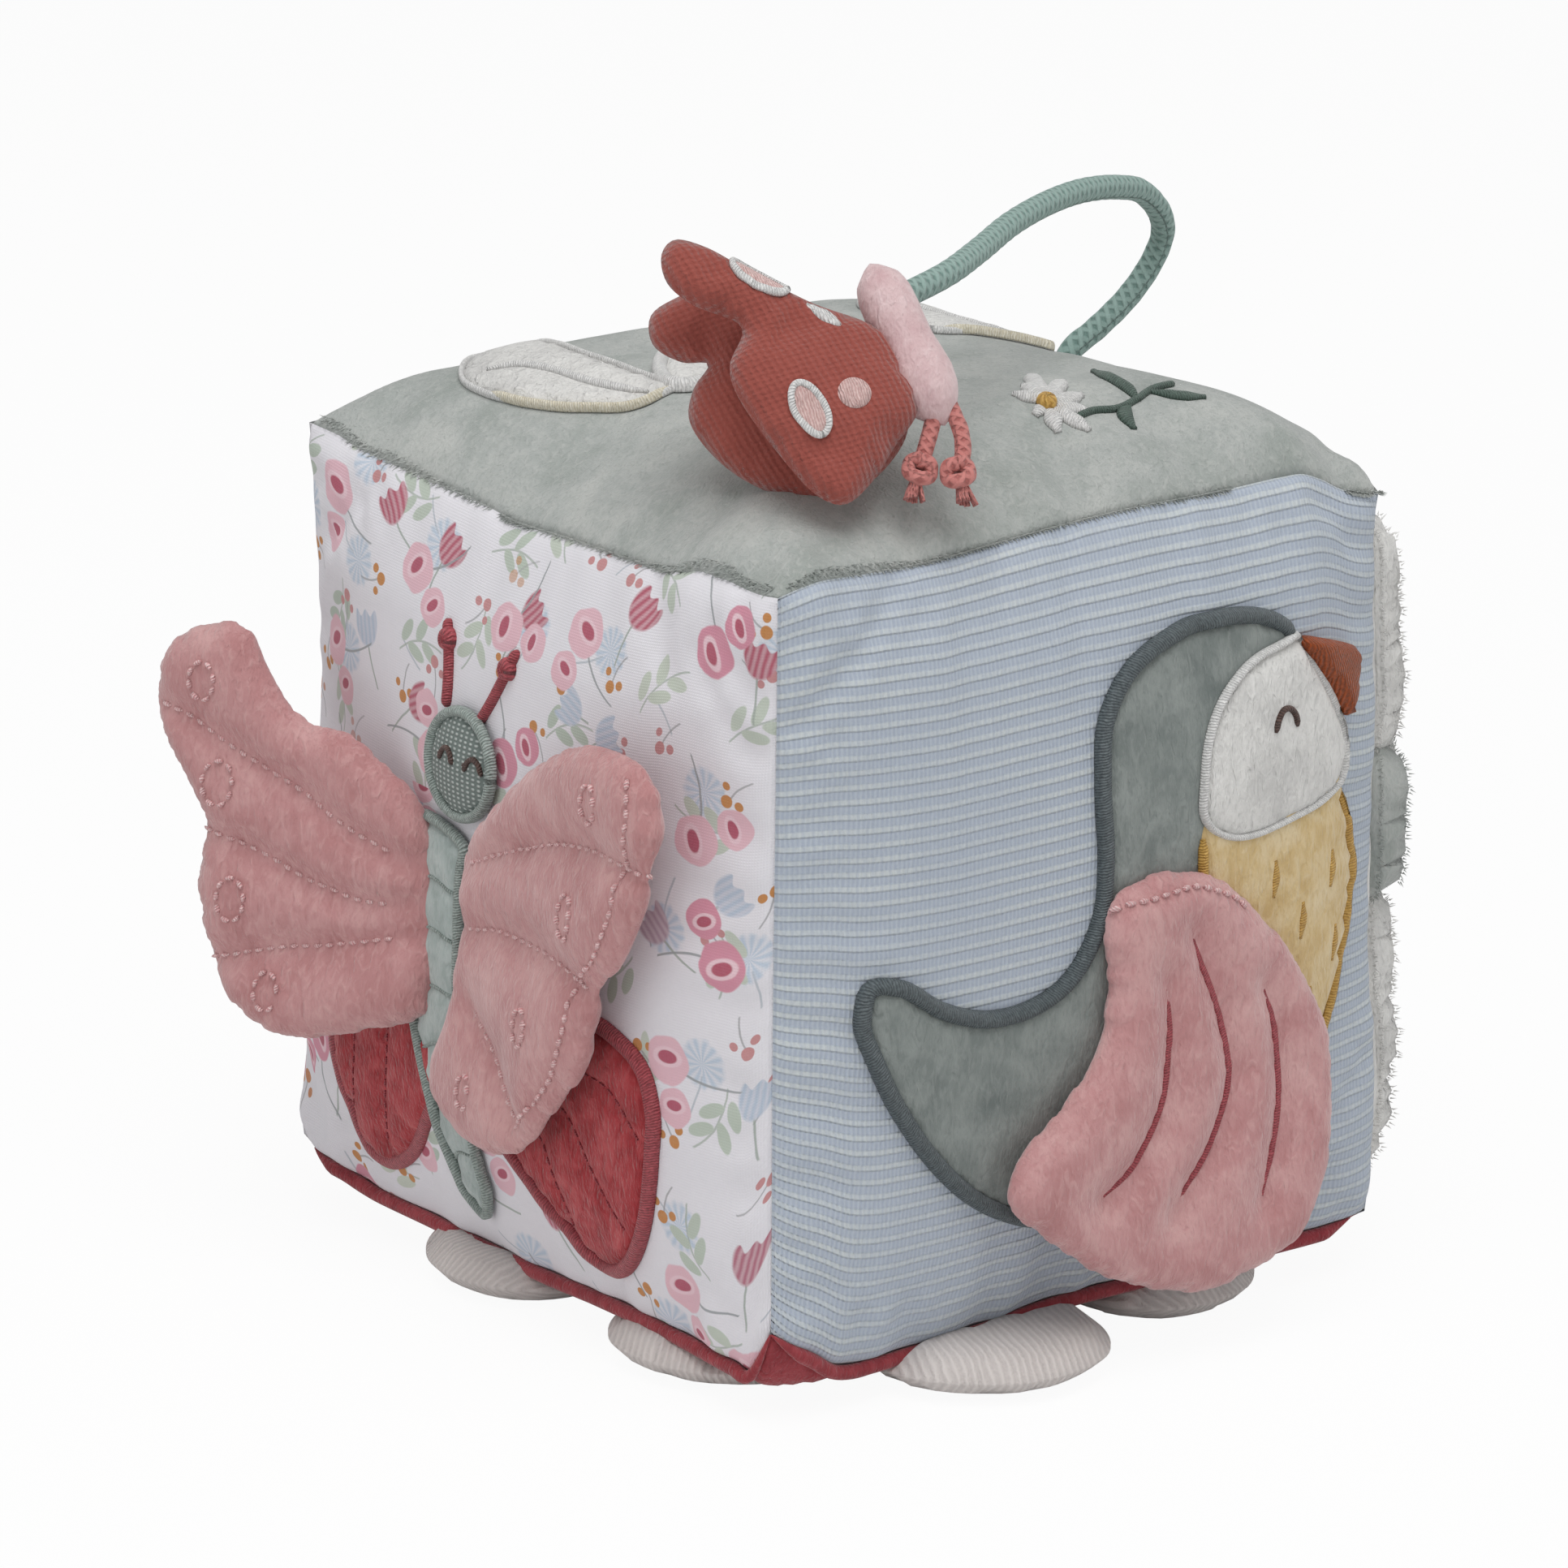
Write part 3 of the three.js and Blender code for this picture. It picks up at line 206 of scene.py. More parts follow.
def braid(name, colour, dark, turn, pitch):
    """Braided cord: strands that cross over each other in two directions."""
    mat = Cloth(name, 0.75, 0.2, 0.4, 0.3)
    u, v = mat.cloth()
    one = (u / pitch + v * turn).fract()
    two = (u / pitch - v * turn).fract()
    over = ((one - 0.5).abs() * 2).below(0.55, 0.4) * 0.9
    under = ((two - 0.5).abs() * 2).below(0.55, 0.4) * 0.7
    height = mat.math("MAXIMUM", over, under)
    fine = mat.noise(0.35, 2.0)
    shade = mat.clamp(height * 0.9 + fine * 0.3)
    return mat.done(mat.mix(shade, dark, colour), (height, 0.35), (fine, 0.12))


def ribbed(name, colour, dark, pitch, depth):
    """Ribbed knit, with ribs along the cloth's second direction."""
    mat = Cloth(name, 0.95, 0.3, 0.5, 0.12)
    rib = (mat.cloth()[0] + mat.noise(6.0, 2.0) * 1.2).wave(pitch)
    fine = mat.noise(0.5, 2.0, seed=5.0)
    soft = mat.noise(8.0, 2.0, seed=2.0)
    shade = mat.clamp(rib * 0.55 + fine * 0.35 + soft * 0.5 - 0.15)
    return mat.done(mat.mix(shade, dark, colour), (rib, depth), (fine, depth * 0.7))


def knitted(name, colour, dark, pitch, slant):
    """Brushed knit: soft diagonal ribs under a fine nap."""
    mat = Cloth(name, 0.95, 0.35, 0.5, 0.1)
    u, v = mat.cloth()
    rib = (u + v * slant + mat.noise(3.0, 2.0) * 0.9).wave(pitch)
    loop = (v - u * 0.3 + mat.noise(1.6) * 0.6).wave(1.1)
    nap = mat.noise(0.45, 2.0, seed=5.0)
    soft = mat.noise(5.0, 2.0, seed=2.0)
    shade = mat.clamp(rib * 0.28 + loop * 0.14 + nap * 0.45 + soft * 0.5 - 0.1)
    return mat.done(mat.mix(shade, dark, colour), (rib, 0.16), (loop, 0.08), (nap, 0.22))


def striped_cotton(name):
    """A washed weave of pale raised cords with finely ribbed bands between them."""
    mat = Cloth(name, 0.85, 0.15, 0.5, 0.15)
    u, v = mat.cloth()
    row = (v + mat.noise(16.0, 2.0) * 0.4).wave(2.8)
    dash = mat.clamp((u + mat.noise(4.0, 1.0)).wave(1.7) * 1.5)
    raised = mat.clamp((row - 0.5) * 2.6 + 0.1)
    rib = (u + mat.noise(3.0, 1.0) * 0.5).wave(0.95)
    fade = mat.clamp((mat.noise(26.0, 1.0, seed=4.0) - 0.3) * 2.2)
    fine = mat.noise(0.5, 2.0)
    # painted shade: the bands are darker where their fine ribs and fine grain sink
    band = mat.mix(mat.clamp(rib * 0.55 + fine * 0.5), "#a8b2c3", "#bfc8d2")
    base = mat.mix(raised * (fade * 0.35 + 0.3) * (dash * 0.4 + 0.6), band, "#dee3df")
    return mat.done(base, (raised, 0.3), (rib, 0.1), (fine, 0.08))


def embroidered_net(name):
    """Open embroidery in grey green with light cross threads."""
    mat = Cloth(name, 0.6, 0.1, 0.4, 0.35)
    u, v = mat.cloth()
    knot = v.wave(0.95) * u.wave(1.5, 1.0)
    return mat.done(mat.mix(mat.clamp(knot * 1.6 - 0.3), "#6c7773", "#c3cbc7"), (knot, 0.3))


def length_of(x, y):
    return x.mat.math("SQRT", x * x + y * y)


def turned(x, y, angle):
    return x * angle.cos() + y * angle.sin(), y * angle.cos() - x * angle.sin()


def oval(x, y, x0, y0, rx, ry, lean=0.0):
    """How far a place is from an oval's middle, with 1 at the oval's edge."""
    px, py = x - x0, y - y0
    if lean:
        c, s = math.cos(lean), math.sin(lean)
        px, py = px * c + py * s, py * c - px * s
    return length_of(px / rx, py / ry)


def stem(x, y, bend, wide, middle, reach, end=0.4):
    """A thin, slightly bent line along y."""
    return (x + y * y * bend).abs().below(wide, 0.2) * (y + middle).abs().below(reach, end)


def floral_cotton(name):
    """A white cotton with a small strewn pattern of plain flowers, leaves and berries."""
    mat = Cloth(name, 0.85, 0.1, 0.5, 0.2)
    u, v = mat.cloth()
    u = u + mat.noise(3.0, 1.0) * 0.5
    base, soft = "#e9e7ec", 0.14

    def paint(mask, colour):
        nonlocal base
        base = mat.mix(mask, base, colour)

    def strewn(spacing, jitter, seed, swing=6.28, start=0.0):
        """The place in the nearest motif, turned at random, and two random numbers of it."""
        spot = mat.node("CombineXYZ", {0: u / spacing + seed, 1: v / spacing + seed * 0.37})
        values = {"Vector": spot.outputs[0], "Scale": 1.0, "Randomness": jitter}
        found = mat.node("TexVoronoi", values, voronoi_dimensions="2D").outputs
        here, there = mat.parts(spot.outputs[0]), mat.parts(found["Position"])
        dx, dy = [(here[i] - there[i]) * spacing for i in (0, 1)]
        chance = mat.node("SeparateColor", {0: found["Color"]}).outputs
        one, two, three = [Num(mat, part) for part in chance]
        return *turned(dx, dy, (one - start) * swing), two, three

    # round puffs of short strokes on a thin stalk
    x, y, two, three = strewn(27.0, 0.7, 57.4)
    paint(stem(x, y, 0.02, 0.22, 6.5, 4.0) * 0.8, "#b5bcc4")
    strokes = (mat.math("ARCTAN2", y, x) * 13.0).cos() * 0.35 + 0.65
    globe = (length_of(x, y) - mat.noise(1.3, 1.0) * 1.6).below(4.0, 1.0) * three.below(0.8, 0.02)
    paint(globe * strokes * 0.9, "#bccbdb")

    # leaves on thin stems
    x, y, two, three = strewn(25.0, 0.75, 3.7)
    green = mat.mix(two, "#b7c3b6", "#cdd3c6")
    paint(stem(x, y, -0.035, 0.22, 0, 7.5) * 0.8, "#a9b3a8")
    for x0, y0, lean in ((2.4, 3.2, -0.7), (-2.3, 1.2, 0.8), (2.3, -1.6, -0.6), (-2.0, -4.0, 0.7)):
        paint(oval(x, y, x0, y0, 1.35, 3.0, lean).below(1.0, soft), green)

    # small berries on short grey stems
    x, y, two, three = strewn(17.0, 0.8, 11.3)
    shown = three.below(0.62, 0.02)
    berry = mat.mix(two.below(0.55, 0.02), "#c98f8f", "#c7884a")
    paint(stem(x, y, 0.05, 0.2, 1.5, 3.2, 0.3) * shown * 0.75, "#9b9a9c")
    for x0, y0, r in ((0.0, 2.6, 1.3), (-2.3, 1.1, 0.95), (2.1, 0.3, 0.85)):
        paint(oval(x, y, x0, y0, r, r).below(1.0, soft) * shown, berry)

    # bell flowers with a scalloped hem
    x, y, two, three = strewn(31.0, 0.65, 21.9, 2.4, 0.5)
    paint(stem(x, y, -0.02, 0.24, 6.0, 6.0) * 0.85, "#9fa9a0")
    hem = (x * 1.8).cos() * 0.65
    bell = oval(x, y, 0.0, 1.6, 4.0, 5.2).below(1.0, soft) * (y - hem).below(3.0, 0.3)
    paint(bell, mat.mix(two.below(0.5, 0.02), "#b9c6d6", "#b4596b"))
    paint(x.wave(1.5) * bell * 0.35, "#f0e6ea")

    # round blossoms with a darker eye, on a pair of stems
    x, y, two, three = strewn(29.0, 0.6, 41.2)
    paint(stem(x, y, -0.03, 0.26, 7.0, 7.0) * 0.9, "#9a9ea0")
    for x0, y0, scale in ((0.0, 1.5, 1.2), (-7.0, -4.5, 0.95)):
        px, py = (x - x0) / scale, (y - y0) / scale
        angle = mat.math("ARCTAN2", py, px)
        rim = (angle * 5.0 + two * 6.0).cos() * 0.1 + mat.noise(3.0, 1.0) * 0.6 + 3.8
        pink = mat.mix(three.below(0.55, 0.02), "#e6bcc6", "#d893a5")
        paint((length_of(px, py) - rim).below(0.0, 0.3), pink)
        middle = oval(px, py, 0.4, 0.3, 1.1, 1.9, 0.6)
        paint(middle.below(1.55, 0.2), "#edccd4")
        paint(middle.below(1.0, 0.2), "#b4566a")

    paint(mat.noise(0.8) * 0.12, "#c9c9d2")
    return mat.done(base, (u.wave(0.55) * v.wave(0.55), 0.06))


MATERIALS = {}
for kind, table in (
    (plush, {
        "sage_plush": ("#b0b4b1", "#989f9a", "#c2c4c0", 16.0),
        "dusty_red_plush": ("#9c4046", "#7e2e35", "#b05258", 10.0),
        "white_plush": ("#e1e0dd", "#c8c7c5", "#edece9", 12.0, 0.8, 0.4),
        "pink_plush": ("#c69494", "#b47d7d", "#d8aeac", 14.0, 0.5, 0.22, 0.5, 0.25),
        "toy_plush": ("#ddc1c2", "#cca9ac", "#e9d2d3", 7.0),
        "red_velvet": ("#a83c41", "#86292d", "#c05e60", 6.0, 0.6, 0.3),
        "mint_plush": ("#b0bbb8", "#95a29e", "#c3cbc8", 7.0),
        "grey_plush": ("#89908d", "#707876", "#9ca29f", 10.0),
        "yellow_plush": ("#dac190", "#c4a46c", "#e8d6b2", 8.0),
    }),
    (satin, {
        "red_satin": ("#b9545c", "#78282f"), "sage_satin": ("#b4c0bb", "#69756f"),
        "grey_satin": ("#667073", "#343c40"), "white_satin": ("#f1f0ee", "#c9c9c8"),
        "yellow_satin": ("#d9b15f", "#a67a2e"), "rust_satin": ("#a4480c", "#6c3009"),
        "cream_satin": ("#efeadb", "#d3cab0"), "pink_satin": ("#ecd0cb", "#c79c98"),
        "dark_satin": ("#5a4038", "#2f201c"), "green_satin": ("#55695f", "#36463e"),
        "pink_thread": ("#f6dcda", "#d08f92"),
    }),
    (braid, {"sage_cord": ("#98b1aa", "#66827b", 4.0, 2.6),
             "pink_cord": ("#cc857f", "#a35d58", 3.0, 2.0)}),
    (ribbed, {"ribbed_cotton": ("#e1dad6", "#c5bdba", 1.5, 0.25)}),
    (knitted, {"rust_knit": ("#a75a50", "#88433b", 1.5, 0.6)}),
    (striped_cotton, {"striped_cotton": ()}),
    (floral_cotton, {"floral_cotton": ()}),
    (embroidered_net, {"ribbed_face": ()}),
):
    MATERIALS.update({name: kind(name, *values) for name, values in table.items()})


# Meshes: a part is its points, its faces and each point's place on the cloth
def merged(parts):
    """Several parts as one."""
    points, faces, cloth, start = [], [], [], 0
    for part_points, part_faces, part_cloth in parts:
        points.append(part_points)
        faces += [tuple(start + i for i in face) for face in part_faces]
        cloth.append(part_cloth)
        start += len(part_points)
    return np.vstack(points), faces, np.vstack(cloth)


def piece(name, part, material, nodes=(), padded=None, body="block", smooth=True):
    """A piece of the scene from a part or a list of parts."""
    points, faces, cloth = merged(part) if isinstance(part, list) else part
    mesh = bpy.data.meshes.new(name)
    mesh.from_pydata((np.asarray(points, float) * MM).tolist(), [], [list(f) for f in faces])
    mesh.materials.append(MATERIALS[material])
    mesh.polygons.foreach_set("use_smooth", [smooth] * len(mesh.polygons))
    values = np.zeros((len(points), 3), np.float32)
    values[:, : cloth.shape[1]] = cloth
    attribute = mesh.attributes.new("cloth", "FLOAT_VECTOR", "POINT")
    attribute.data.foreach_set("vector", values.ravel())
    mesh.update()
    obj = bpy.data.objects.new(name, mesh)
    scene.collection.objects.link(obj)
    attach(obj, body)
    if nodes:
        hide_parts(*nodes)
    return obj


def length_along(line):
    return np.concatenate([[0], np.cumsum(np.linalg.norm(np.diff(line, axis=0), axis=1))])


def spline(points, count, closed=False):
    """A smooth line through points, as evenly spaced places."""
    points = np.asarray(points, float)
    wrap = np.vstack([points[-1:], points, points[:2]])
    if not closed:
        wrap = np.vstack([2 * points[0] - points[1], points, 2 * points[-1] - points[-2]])
    line = []
    for p in zip(wrap, wrap[1:], wrap[2:], wrap[3:]):
        gaps = [max(np.linalg.norm(b - a), 1e-6) ** 0.5 for a, b in zip(p, p[1:])]
        knots = np.cumsum([0.0] + gaps)
        t = (knots[1] + np.linspace(0, 1, 24, endpoint=False) * (knots[2] - knots[1]))[:, None]

        def between(a, b, i, j):
            return a + (b - a) * (t - knots[i]) / (knots[j] - knots[i])

        a1, a2, a3 = [between(p[i], p[i + 1], i, i + 1) for i in range(3)]
        line.append(between(between(a1, a2, 0, 2), between(a2, a3, 1, 3), 1, 2))
    line = np.vstack(line + [wrap[-2:-1]])
    run = length_along(line)
    wanted = np.linspace(0, run[-1], count, endpoint=not closed)
    return np.stack([np.interp(wanted, run, line[:, k]) for k in range(line.shape[1])], 1)


def lined(line, spacing=0.9):
    """A line through points, close enough for a stitched ridge."""
    count = max(8, int(length_along(spline(line, 60))[-1] / spacing))
    return spline(line, count)


def ellipse(middle, width, height, count=64, turn=0.0):
    angles = np.linspace(0, 2 * math.pi, count, endpoint=False)
    x, y = np.cos(angles) * width / 2, np.sin(angles) * height / 2
    c, s = math.cos(math.radians(turn)), math.sin(math.radians(turn))
    return np.stack([x * c - y * s + middle[0], x * s + y * c + middle[1]], 1)


def anticlockwise(outline):
    ahead = np.roll(outline, -1, 0) - outline
    area = (outline[:, 0] * ahead[:, 1] - outline[:, 1] * ahead[:, 0]).sum()
    return outline[::-1] if area < 0 else outline


def distance(points, line, closed=False):
    """How far each point in the plane is from a line."""
    starts = line if closed else line[:-1]
    steps = (np.roll(line, -1, 0) if closed else line[1:]) - starts
    squares = np.maximum((steps**2).sum(1), 1e-12)
    best = np.full(len(points), 1e9)
    for a, d, q in zip(starts, steps, squares):
        share = np.clip(((points - a) @ d) / q, 0, 1)
        best = np.minimum(best, np.hypot(*(points - a - share[:, None] * d).T))
    return best


def inside(points, outline):
    """Which points lie in an outline."""
    x, y = points.T
    hits = np.zeros(len(points), bool)
    for (x0, y0), (x1, y1) in zip(outline, np.roll(outline, -1, 0)):
        with np.errstate(divide="ignore", invalid="ignore"):
            hits ^= ((y0 > y) != (y1 > y)) & (x < (x1 - x0) * (y - y0) / (y1 - y0) + x0)
    return hits


ROW_SHARE, RIM_GAP_SHARE, LINE_GAP_SHARE = 0.87, 0.6, 0.55


def triangulate(outline, spacing, lines=()):
    """Triangles that fill an outline, with even points inside and points along given lines."""
    low, high = outline.min(0), outline.max(0)
    xs = np.arange(low[0], high[0], spacing)
    ys = np.arange(low[1], high[1], spacing * ROW_SHARE)
    grid = np.array([(x + (j % 2) * spacing / 2, y) for j, y in enumerate(ys) for x in xs])
    keep = inside(grid, outline) & (distance(grid, outline, True) > spacing * RIM_GAP_SHARE)
    pool = []
    for line in lines:
        keep &= distance(grid, line) > spacing * LINE_GAP_SHARE
        inner = spline(line, max(3, int(length_along(line)[-1] / spacing)))
        clear = distance(inner, outline, True) > spacing * 0.5
        pool.append(inner[inside(inner, outline) & clear])
    points = np.vstack([outline, grid[keep]] + pool)
    edges = [(i, (i + 1) % len(outline)) for i in range(len(outline))]
    made = delaunay_2d_cdt([Vector(p) for p in points], edges, [], 1, 1e-5)
    return np.array([tuple(p) for p in made[0]]), [list(f) for f in made[2]]


def border_of(faces):
    """The edges that only one face uses, in its direction."""
    seen = dict.fromkeys((a, b) for face in faces for a, b in zip(face, face[1:] + face[:1]))
    return [(a, b) for a, b in seen if (b, a) not in seen]


def closed_pad(cloth, faces, top, bottom):
    """A part from a top layer and a bottom layer over the same triangles."""
    count = len(top)
    walls = [(b, a, a + count, b + count) for a, b in border_of(faces)]
    under = [[i + count for i in reversed(face)] for face in faces]
    return np.vstack([top, bottom]), faces + under + walls, np.vstack([cloth, cloth])


def rounded(rim, edge):
    """The height of a round edge, in shares, at a distance from the rim."""
    return np.sqrt(1 - np.clip(1 - rim / edge, 0, 1) ** 2)


def normals_of(points, faces):
    """Smooth normals of a mesh."""
    total = np.zeros_like(points)
    for size in {len(face) for face in faces}:
        group = np.array([face for face in faces if len(face) == size])
        a, b, c = points[group[:, 0]], points[group[:, 1]], points[group[:, 2]]
        normal = np.cross(c - a, points[group[:, 3]] - b) if size == 4 else np.cross(b - a, c - a)
        for column in range(size):
            np.add.at(total, group[:, column], normal)
    return total / np.maximum(np.linalg.norm(total, axis=1, keepdims=True), 1e-9)


class Ground:
    """A surface that pieces are laid on, looked at along the last of its three directions."""

    def __init__(self, points, faces, origin, axes):
        self.points, self.faces = points, faces
        self.tree = BVHTree.FromPolygons(points.tolist(), [list(map(int, f)) for f in faces])
        self.normals = normals_of(points, faces)
        self.origin, self.axes = np.asarray(origin, float), np.asarray(axes, float)

    def at(self, flat, start=130.0):
        """Where points of the plane land on the surface, and the normals there."""
        places, normals = np.zeros((len(flat), 3)), np.zeros((len(flat), 3))
        ahead = self.axes[:, 2]
        for i, (u, v) in enumerate(flat):
            above = self.origin + self.axes @ (u, v, start)
            hit, _, face, _ = self.tree.ray_cast(Vector(above), Vector(-ahead))
            if hit is None:
                hit, _, face, _ = self.tree.find_nearest(Vector(above - ahead * start))
            places[i] = hit
            corners = list(self.faces[face])
            weights = 1 / (np.linalg.norm(self.points[corners] - places[i], axis=1) + 1e-3) ** 2
            blend = weights @ self.normals[corners]
            normals[i] = blend / np.linalg.norm(blend)
        return places, normals


def over(ground, *parts):
    """The surface of a cover with the patches that lie on it."""
    points, faces, _ = merged([(ground.points, ground.faces, ground.points[:, :2]), *parts])
    return Ground(points, faces, BLOCK_MIDDLE, ground.axes)


SUNK, DOME_REACH, GROOVE_WIDTH, RIDGE_POINTS = 0.4, 6, 1.1, 7


def applique(ground, outline, thick=1.2, lift=0.0, dome=0.0, edge=1.3, spacing=2.4, lines=(),
             groove=0.6, sunk=SUNK, power=2.0):
    """A patch with round edges that lies on a surface. Lines are sewn into it."""
    flat, faces = triangulate(outline, spacing, lines)
    rim = distance(flat, outline, True)
    share = np.clip(rim / edge, 0, 1)
    height = lift + thick * (0.2 + 0.8 * (1 - (1 - share) ** power) ** (1 / power))
    height += dome * (1 - np.exp(-rim / DOME_REACH)) * (rim > 0)
    for line in lines:
        height -= groove * np.exp(-((distance(flat, line) / GROOVE_WIDTH) ** 2)) * (rim > 0)
    base, normals = ground.at(flat)
    return closed_pad(flat, faces, base + normals * height[:, None], base + normals * (lift - sunk))


def ridge(ground, line, width, height, closed=False, lift=0.0, taper=0.0):
    """A raised stitched line that lies on a surface, as a closed strip."""
    line = np.asarray(line, float)
    ahead = np.roll(line, -1, 0) - np.roll(line, 1, 0)
    if not closed:
        ahead[0], ahead[-1] = line[1] - line[0], line[-1] - line[-2]
    ahead /= np.linalg.norm(ahead, axis=1, keepdims=True)
    aside = np.stack([-ahead[:, 1], ahead[:, 0]], 1)
    shares = np.sin(np.linspace(-1, 1, RIDGE_POINTS) * math.pi / 2)
    run = length_along(line)
    size = np.ones(len(line))
    if taper and not closed:
        size = np.clip(np.minimum(run, run[-1] - run) / taper, 0.25, 1) ** 0.6
    half = width / 2 * size
    flat = (line[:, None] + aside[:, None] * (shares[:, None] * half[:, None, None])).reshape(-1, 2)
    base, normals = ground.at(flat)
    rise = np.sqrt(np.maximum(1 - shares**2, 0))
    heights = (size[:, None] * height * rise[None] + lift).reshape(-1, 1)
    shape = len(line), RIDGE_POINTS, 3
    low = (base + normals * (lift - SUNK)).reshape(shape)
    ring = np.concatenate([(base + normals * heights).reshape(shape), low[:, ::-3]], 1)
    count, sides = ring.shape[:2]
    faces = [tuple(reversed(face)) for face in ring_faces(count, sides, closed)]
    if not closed:
        faces += [tuple(range(sides)), tuple(range(count * sides - 1, (count - 1) * sides - 1, -1))]
    reach = np.concatenate([shares, shares[::-3]]) * width / 2
    cloth = np.stack([np.repeat(run, sides), np.tile(reach, count)], 1)
    return ring.reshape(-1, 3), faces, cloth


def ring_faces(count, sides, closed=False):
    """The faces between rings of points, one ring after another."""
    faces = []
    for i in range(count if closed else count - 1):
        a, b = i * sides, ((i + 1) % count) * sides
        faces += [(a + j, a + (j + 1) % sides, b + (j + 1) % sides, b + j) for j in range(sides)]
    return faces


def tube(path, radii, sides=16, press=None):
    """A closed tube along a path in space, with its places along and around."""
    path = np.asarray(path, float)
    radii = np.broadcast_to(radii, len(path)).astype(float)
    ahead = np.gradient(path, axis=0)
    ahead /= np.linalg.norm(ahead, axis=1, keepdims=True)
    side = np.cross(ahead[0], (0, 0, 1) if abs(ahead[0][2]) < 0.9 else (1, 0, 0))
    rings, cloth = [], []
    angles = np.linspace(0, 2 * math.pi, sides, endpoint=False)
    for place, direction, radius, run in zip(path, ahead, radii, length_along(path)):
        side = side - direction * (side @ direction)
        side /= np.linalg.norm(side)
        spokes = np.cos(angles)[:, None] * side + np.sin(angles)[:, None] * np.cross(direction, side)
        radius = radius + (press(run, angles) if press else np.zeros(sides))
        rings.append(place + radius[:, None] * spokes)
        cloth.append(np.stack([np.full(sides, run), angles / (2 * math.pi)], 1))
    count = len(path)
    first, last, start = count * sides, count * sides + 1, (count - 1) * sides
    faces = ring_faces(count, sides)
    for j in range(sides):
        k = (j + 1) % sides
        faces += [(first, k, j), (last, start + j, start + k)]
    return np.vstack(rings + [path[:1], path[-1:]]), faces, np.vstack(cloth + [[[0, 0], [run, 0]]])


def braided(pitch, strands, height):
    """How far the crossing strands of a braid stand up."""

    def strand(turns):
        return np.cos(math.pi / 2 * np.abs(turns % 1 - 0.5) * 2) ** 0.7

    def press(run, angles):
        turns = angles / (2 * math.pi) * strands
        first, second = strand(run / pitch + turns), strand(run / pitch - turns)
        swap = np.sin(2 * math.pi * (run / pitch)) > 0
        low, high = (second, first) if swap else (first, second)
        return height * (np.maximum(high, low * 0.8) - 0.6)

    return press


def threads(ground, line, dash, gap, width, lift=0.15):
    """Single stitches along a line, as small closed grains."""
    parts = []
    run = length_along(line)
    at = gap / 2
    while at + dash < run[-1]:
        marks = np.linspace(at, at + dash, 5)
        grain = np.stack([np.interp(marks, run, line[:, k]) for k in (0, 1)], 1)
        parts.append(ridge(ground, grain, width, width * 0.7, lift=lift, taper=dash * 0.35))
        at += dash + gap
    return merged(parts)


GOLDEN_ANGLE, HAIR_LEAN, HAIR_ROOT = 2.399, 0.7, 0.2


def hairs(name, roots, normals, length, width, material):
    """A pile of its own: thin three-sided points that stand on a surface and lean every way."""
    number = np.arange(len(roots))
    angle = number * GOLDEN_ANGLE
    one = np.cross(normals, (0.31, 0.22, 0.93))
    one /= np.linalg.norm(one, axis=1, keepdims=True)
    two = np.cross(normals, one)

    def around(turn):
        return np.cos(angle + turn)[:, None] * one + np.sin(angle + turn)[:, None] * two

    tilt = HAIR_LEAN * (0.3 + 0.7 * ((number * 0.618) % 1))[:, None]
    ahead = normals + tilt * around(0)
    ahead /= np.linalg.norm(ahead, axis=1, keepdims=True)
    tips = roots + ahead * (length * (0.55 + 0.45 * ((number * 0.381) % 1)))[:, None]
    feet = [roots - normals * HAIR_ROOT + around(turn * 2 * math.pi / 3) * width for turn in range(3)]
    points = np.stack(feet + [tips], 1).reshape(-1, 3)
    corners = np.array([(0, 2, 1), (0, 1, 3), (1, 2, 3), (2, 0, 3)])
    faces = (number[:, None, None] * 4 + corners).reshape(-1, 3).tolist()
    piece(name, (points, faces, points[:, :2]), material, smooth=False)


# Stuffing, simulated at ten times its size
PUFF_FRAMES, PUFF_SCALE = 14, MM * 10


def puff(jobs):
    """Fills closed meshes with air as cloth, with their seams held, and returns their points.
    Each job is (points, faces, held points, pressure, spare cloth, farthest move)."""
    objects = []
    for number, (points, faces, held, pressure, spare, _) in enumerate(jobs):
        mesh = bpy.data.meshes.new(f"puff_{number}")
        mesh.from_pydata((points * PUFF_SCALE).tolist(), [], [list(map(int, f)) for f in faces])
        obj = bpy.data.objects.new(f"puff_{number}", mesh)
        scene.collection.objects.link(obj)
        obj.vertex_groups.new(name="held").add([int(i) for i in held], 1.0, "REPLACE")
        modifier = obj.modifiers.new("cloth", "CLOTH")
        for name, value in {
            "quality": 6, "mass": 0.3, "vertex_group_mass": "held", "use_pressure": True,
            "uniform_pressure_force": pressure, "tension_stiffness": 20,
            "compression_stiffness": 20, "shear_stiffness": 8, "bending_stiffness": 0.6,
            "shrink_min": -spare,
        }.items():
            setattr(modifier.settings, name, value)
        modifier.settings.effector_weights.gravity = 0
        modifier.collision_settings.use_collision = False
        modifier.point_cache.frame_start, modifier.point_cache.frame_end = 1, PUFF_FRAMES
        objects.append(obj)
    for number in range(1, PUFF_FRAMES + 1):
        scene.frame_set(number)
    graph = bpy.context.evaluated_depsgraph_get()
    results = []
    for obj, (points, *_, cap) in zip(objects, jobs):
        mesh = obj.evaluated_get(graph).data
        moved = np.zeros(len(mesh.vertices) * 3)
        mesh.vertices.foreach_get("co", moved)
        move = moved.reshape(-1, 3) / PUFF_SCALE - points
        size = np.linalg.norm(move, axis=1, keepdims=True)
        results.append(points + move * np.minimum(1, cap / np.maximum(size, 1e-9)))
        old = obj.data
        bpy.data.objects.remove(obj)
        bpy.data.meshes.remove(old)
    scene.frame_set(1)
    return results


VEIN_PRESS, VEIN_WIDTH, VEIN_HELD = 0.65, 3.0, 0.35


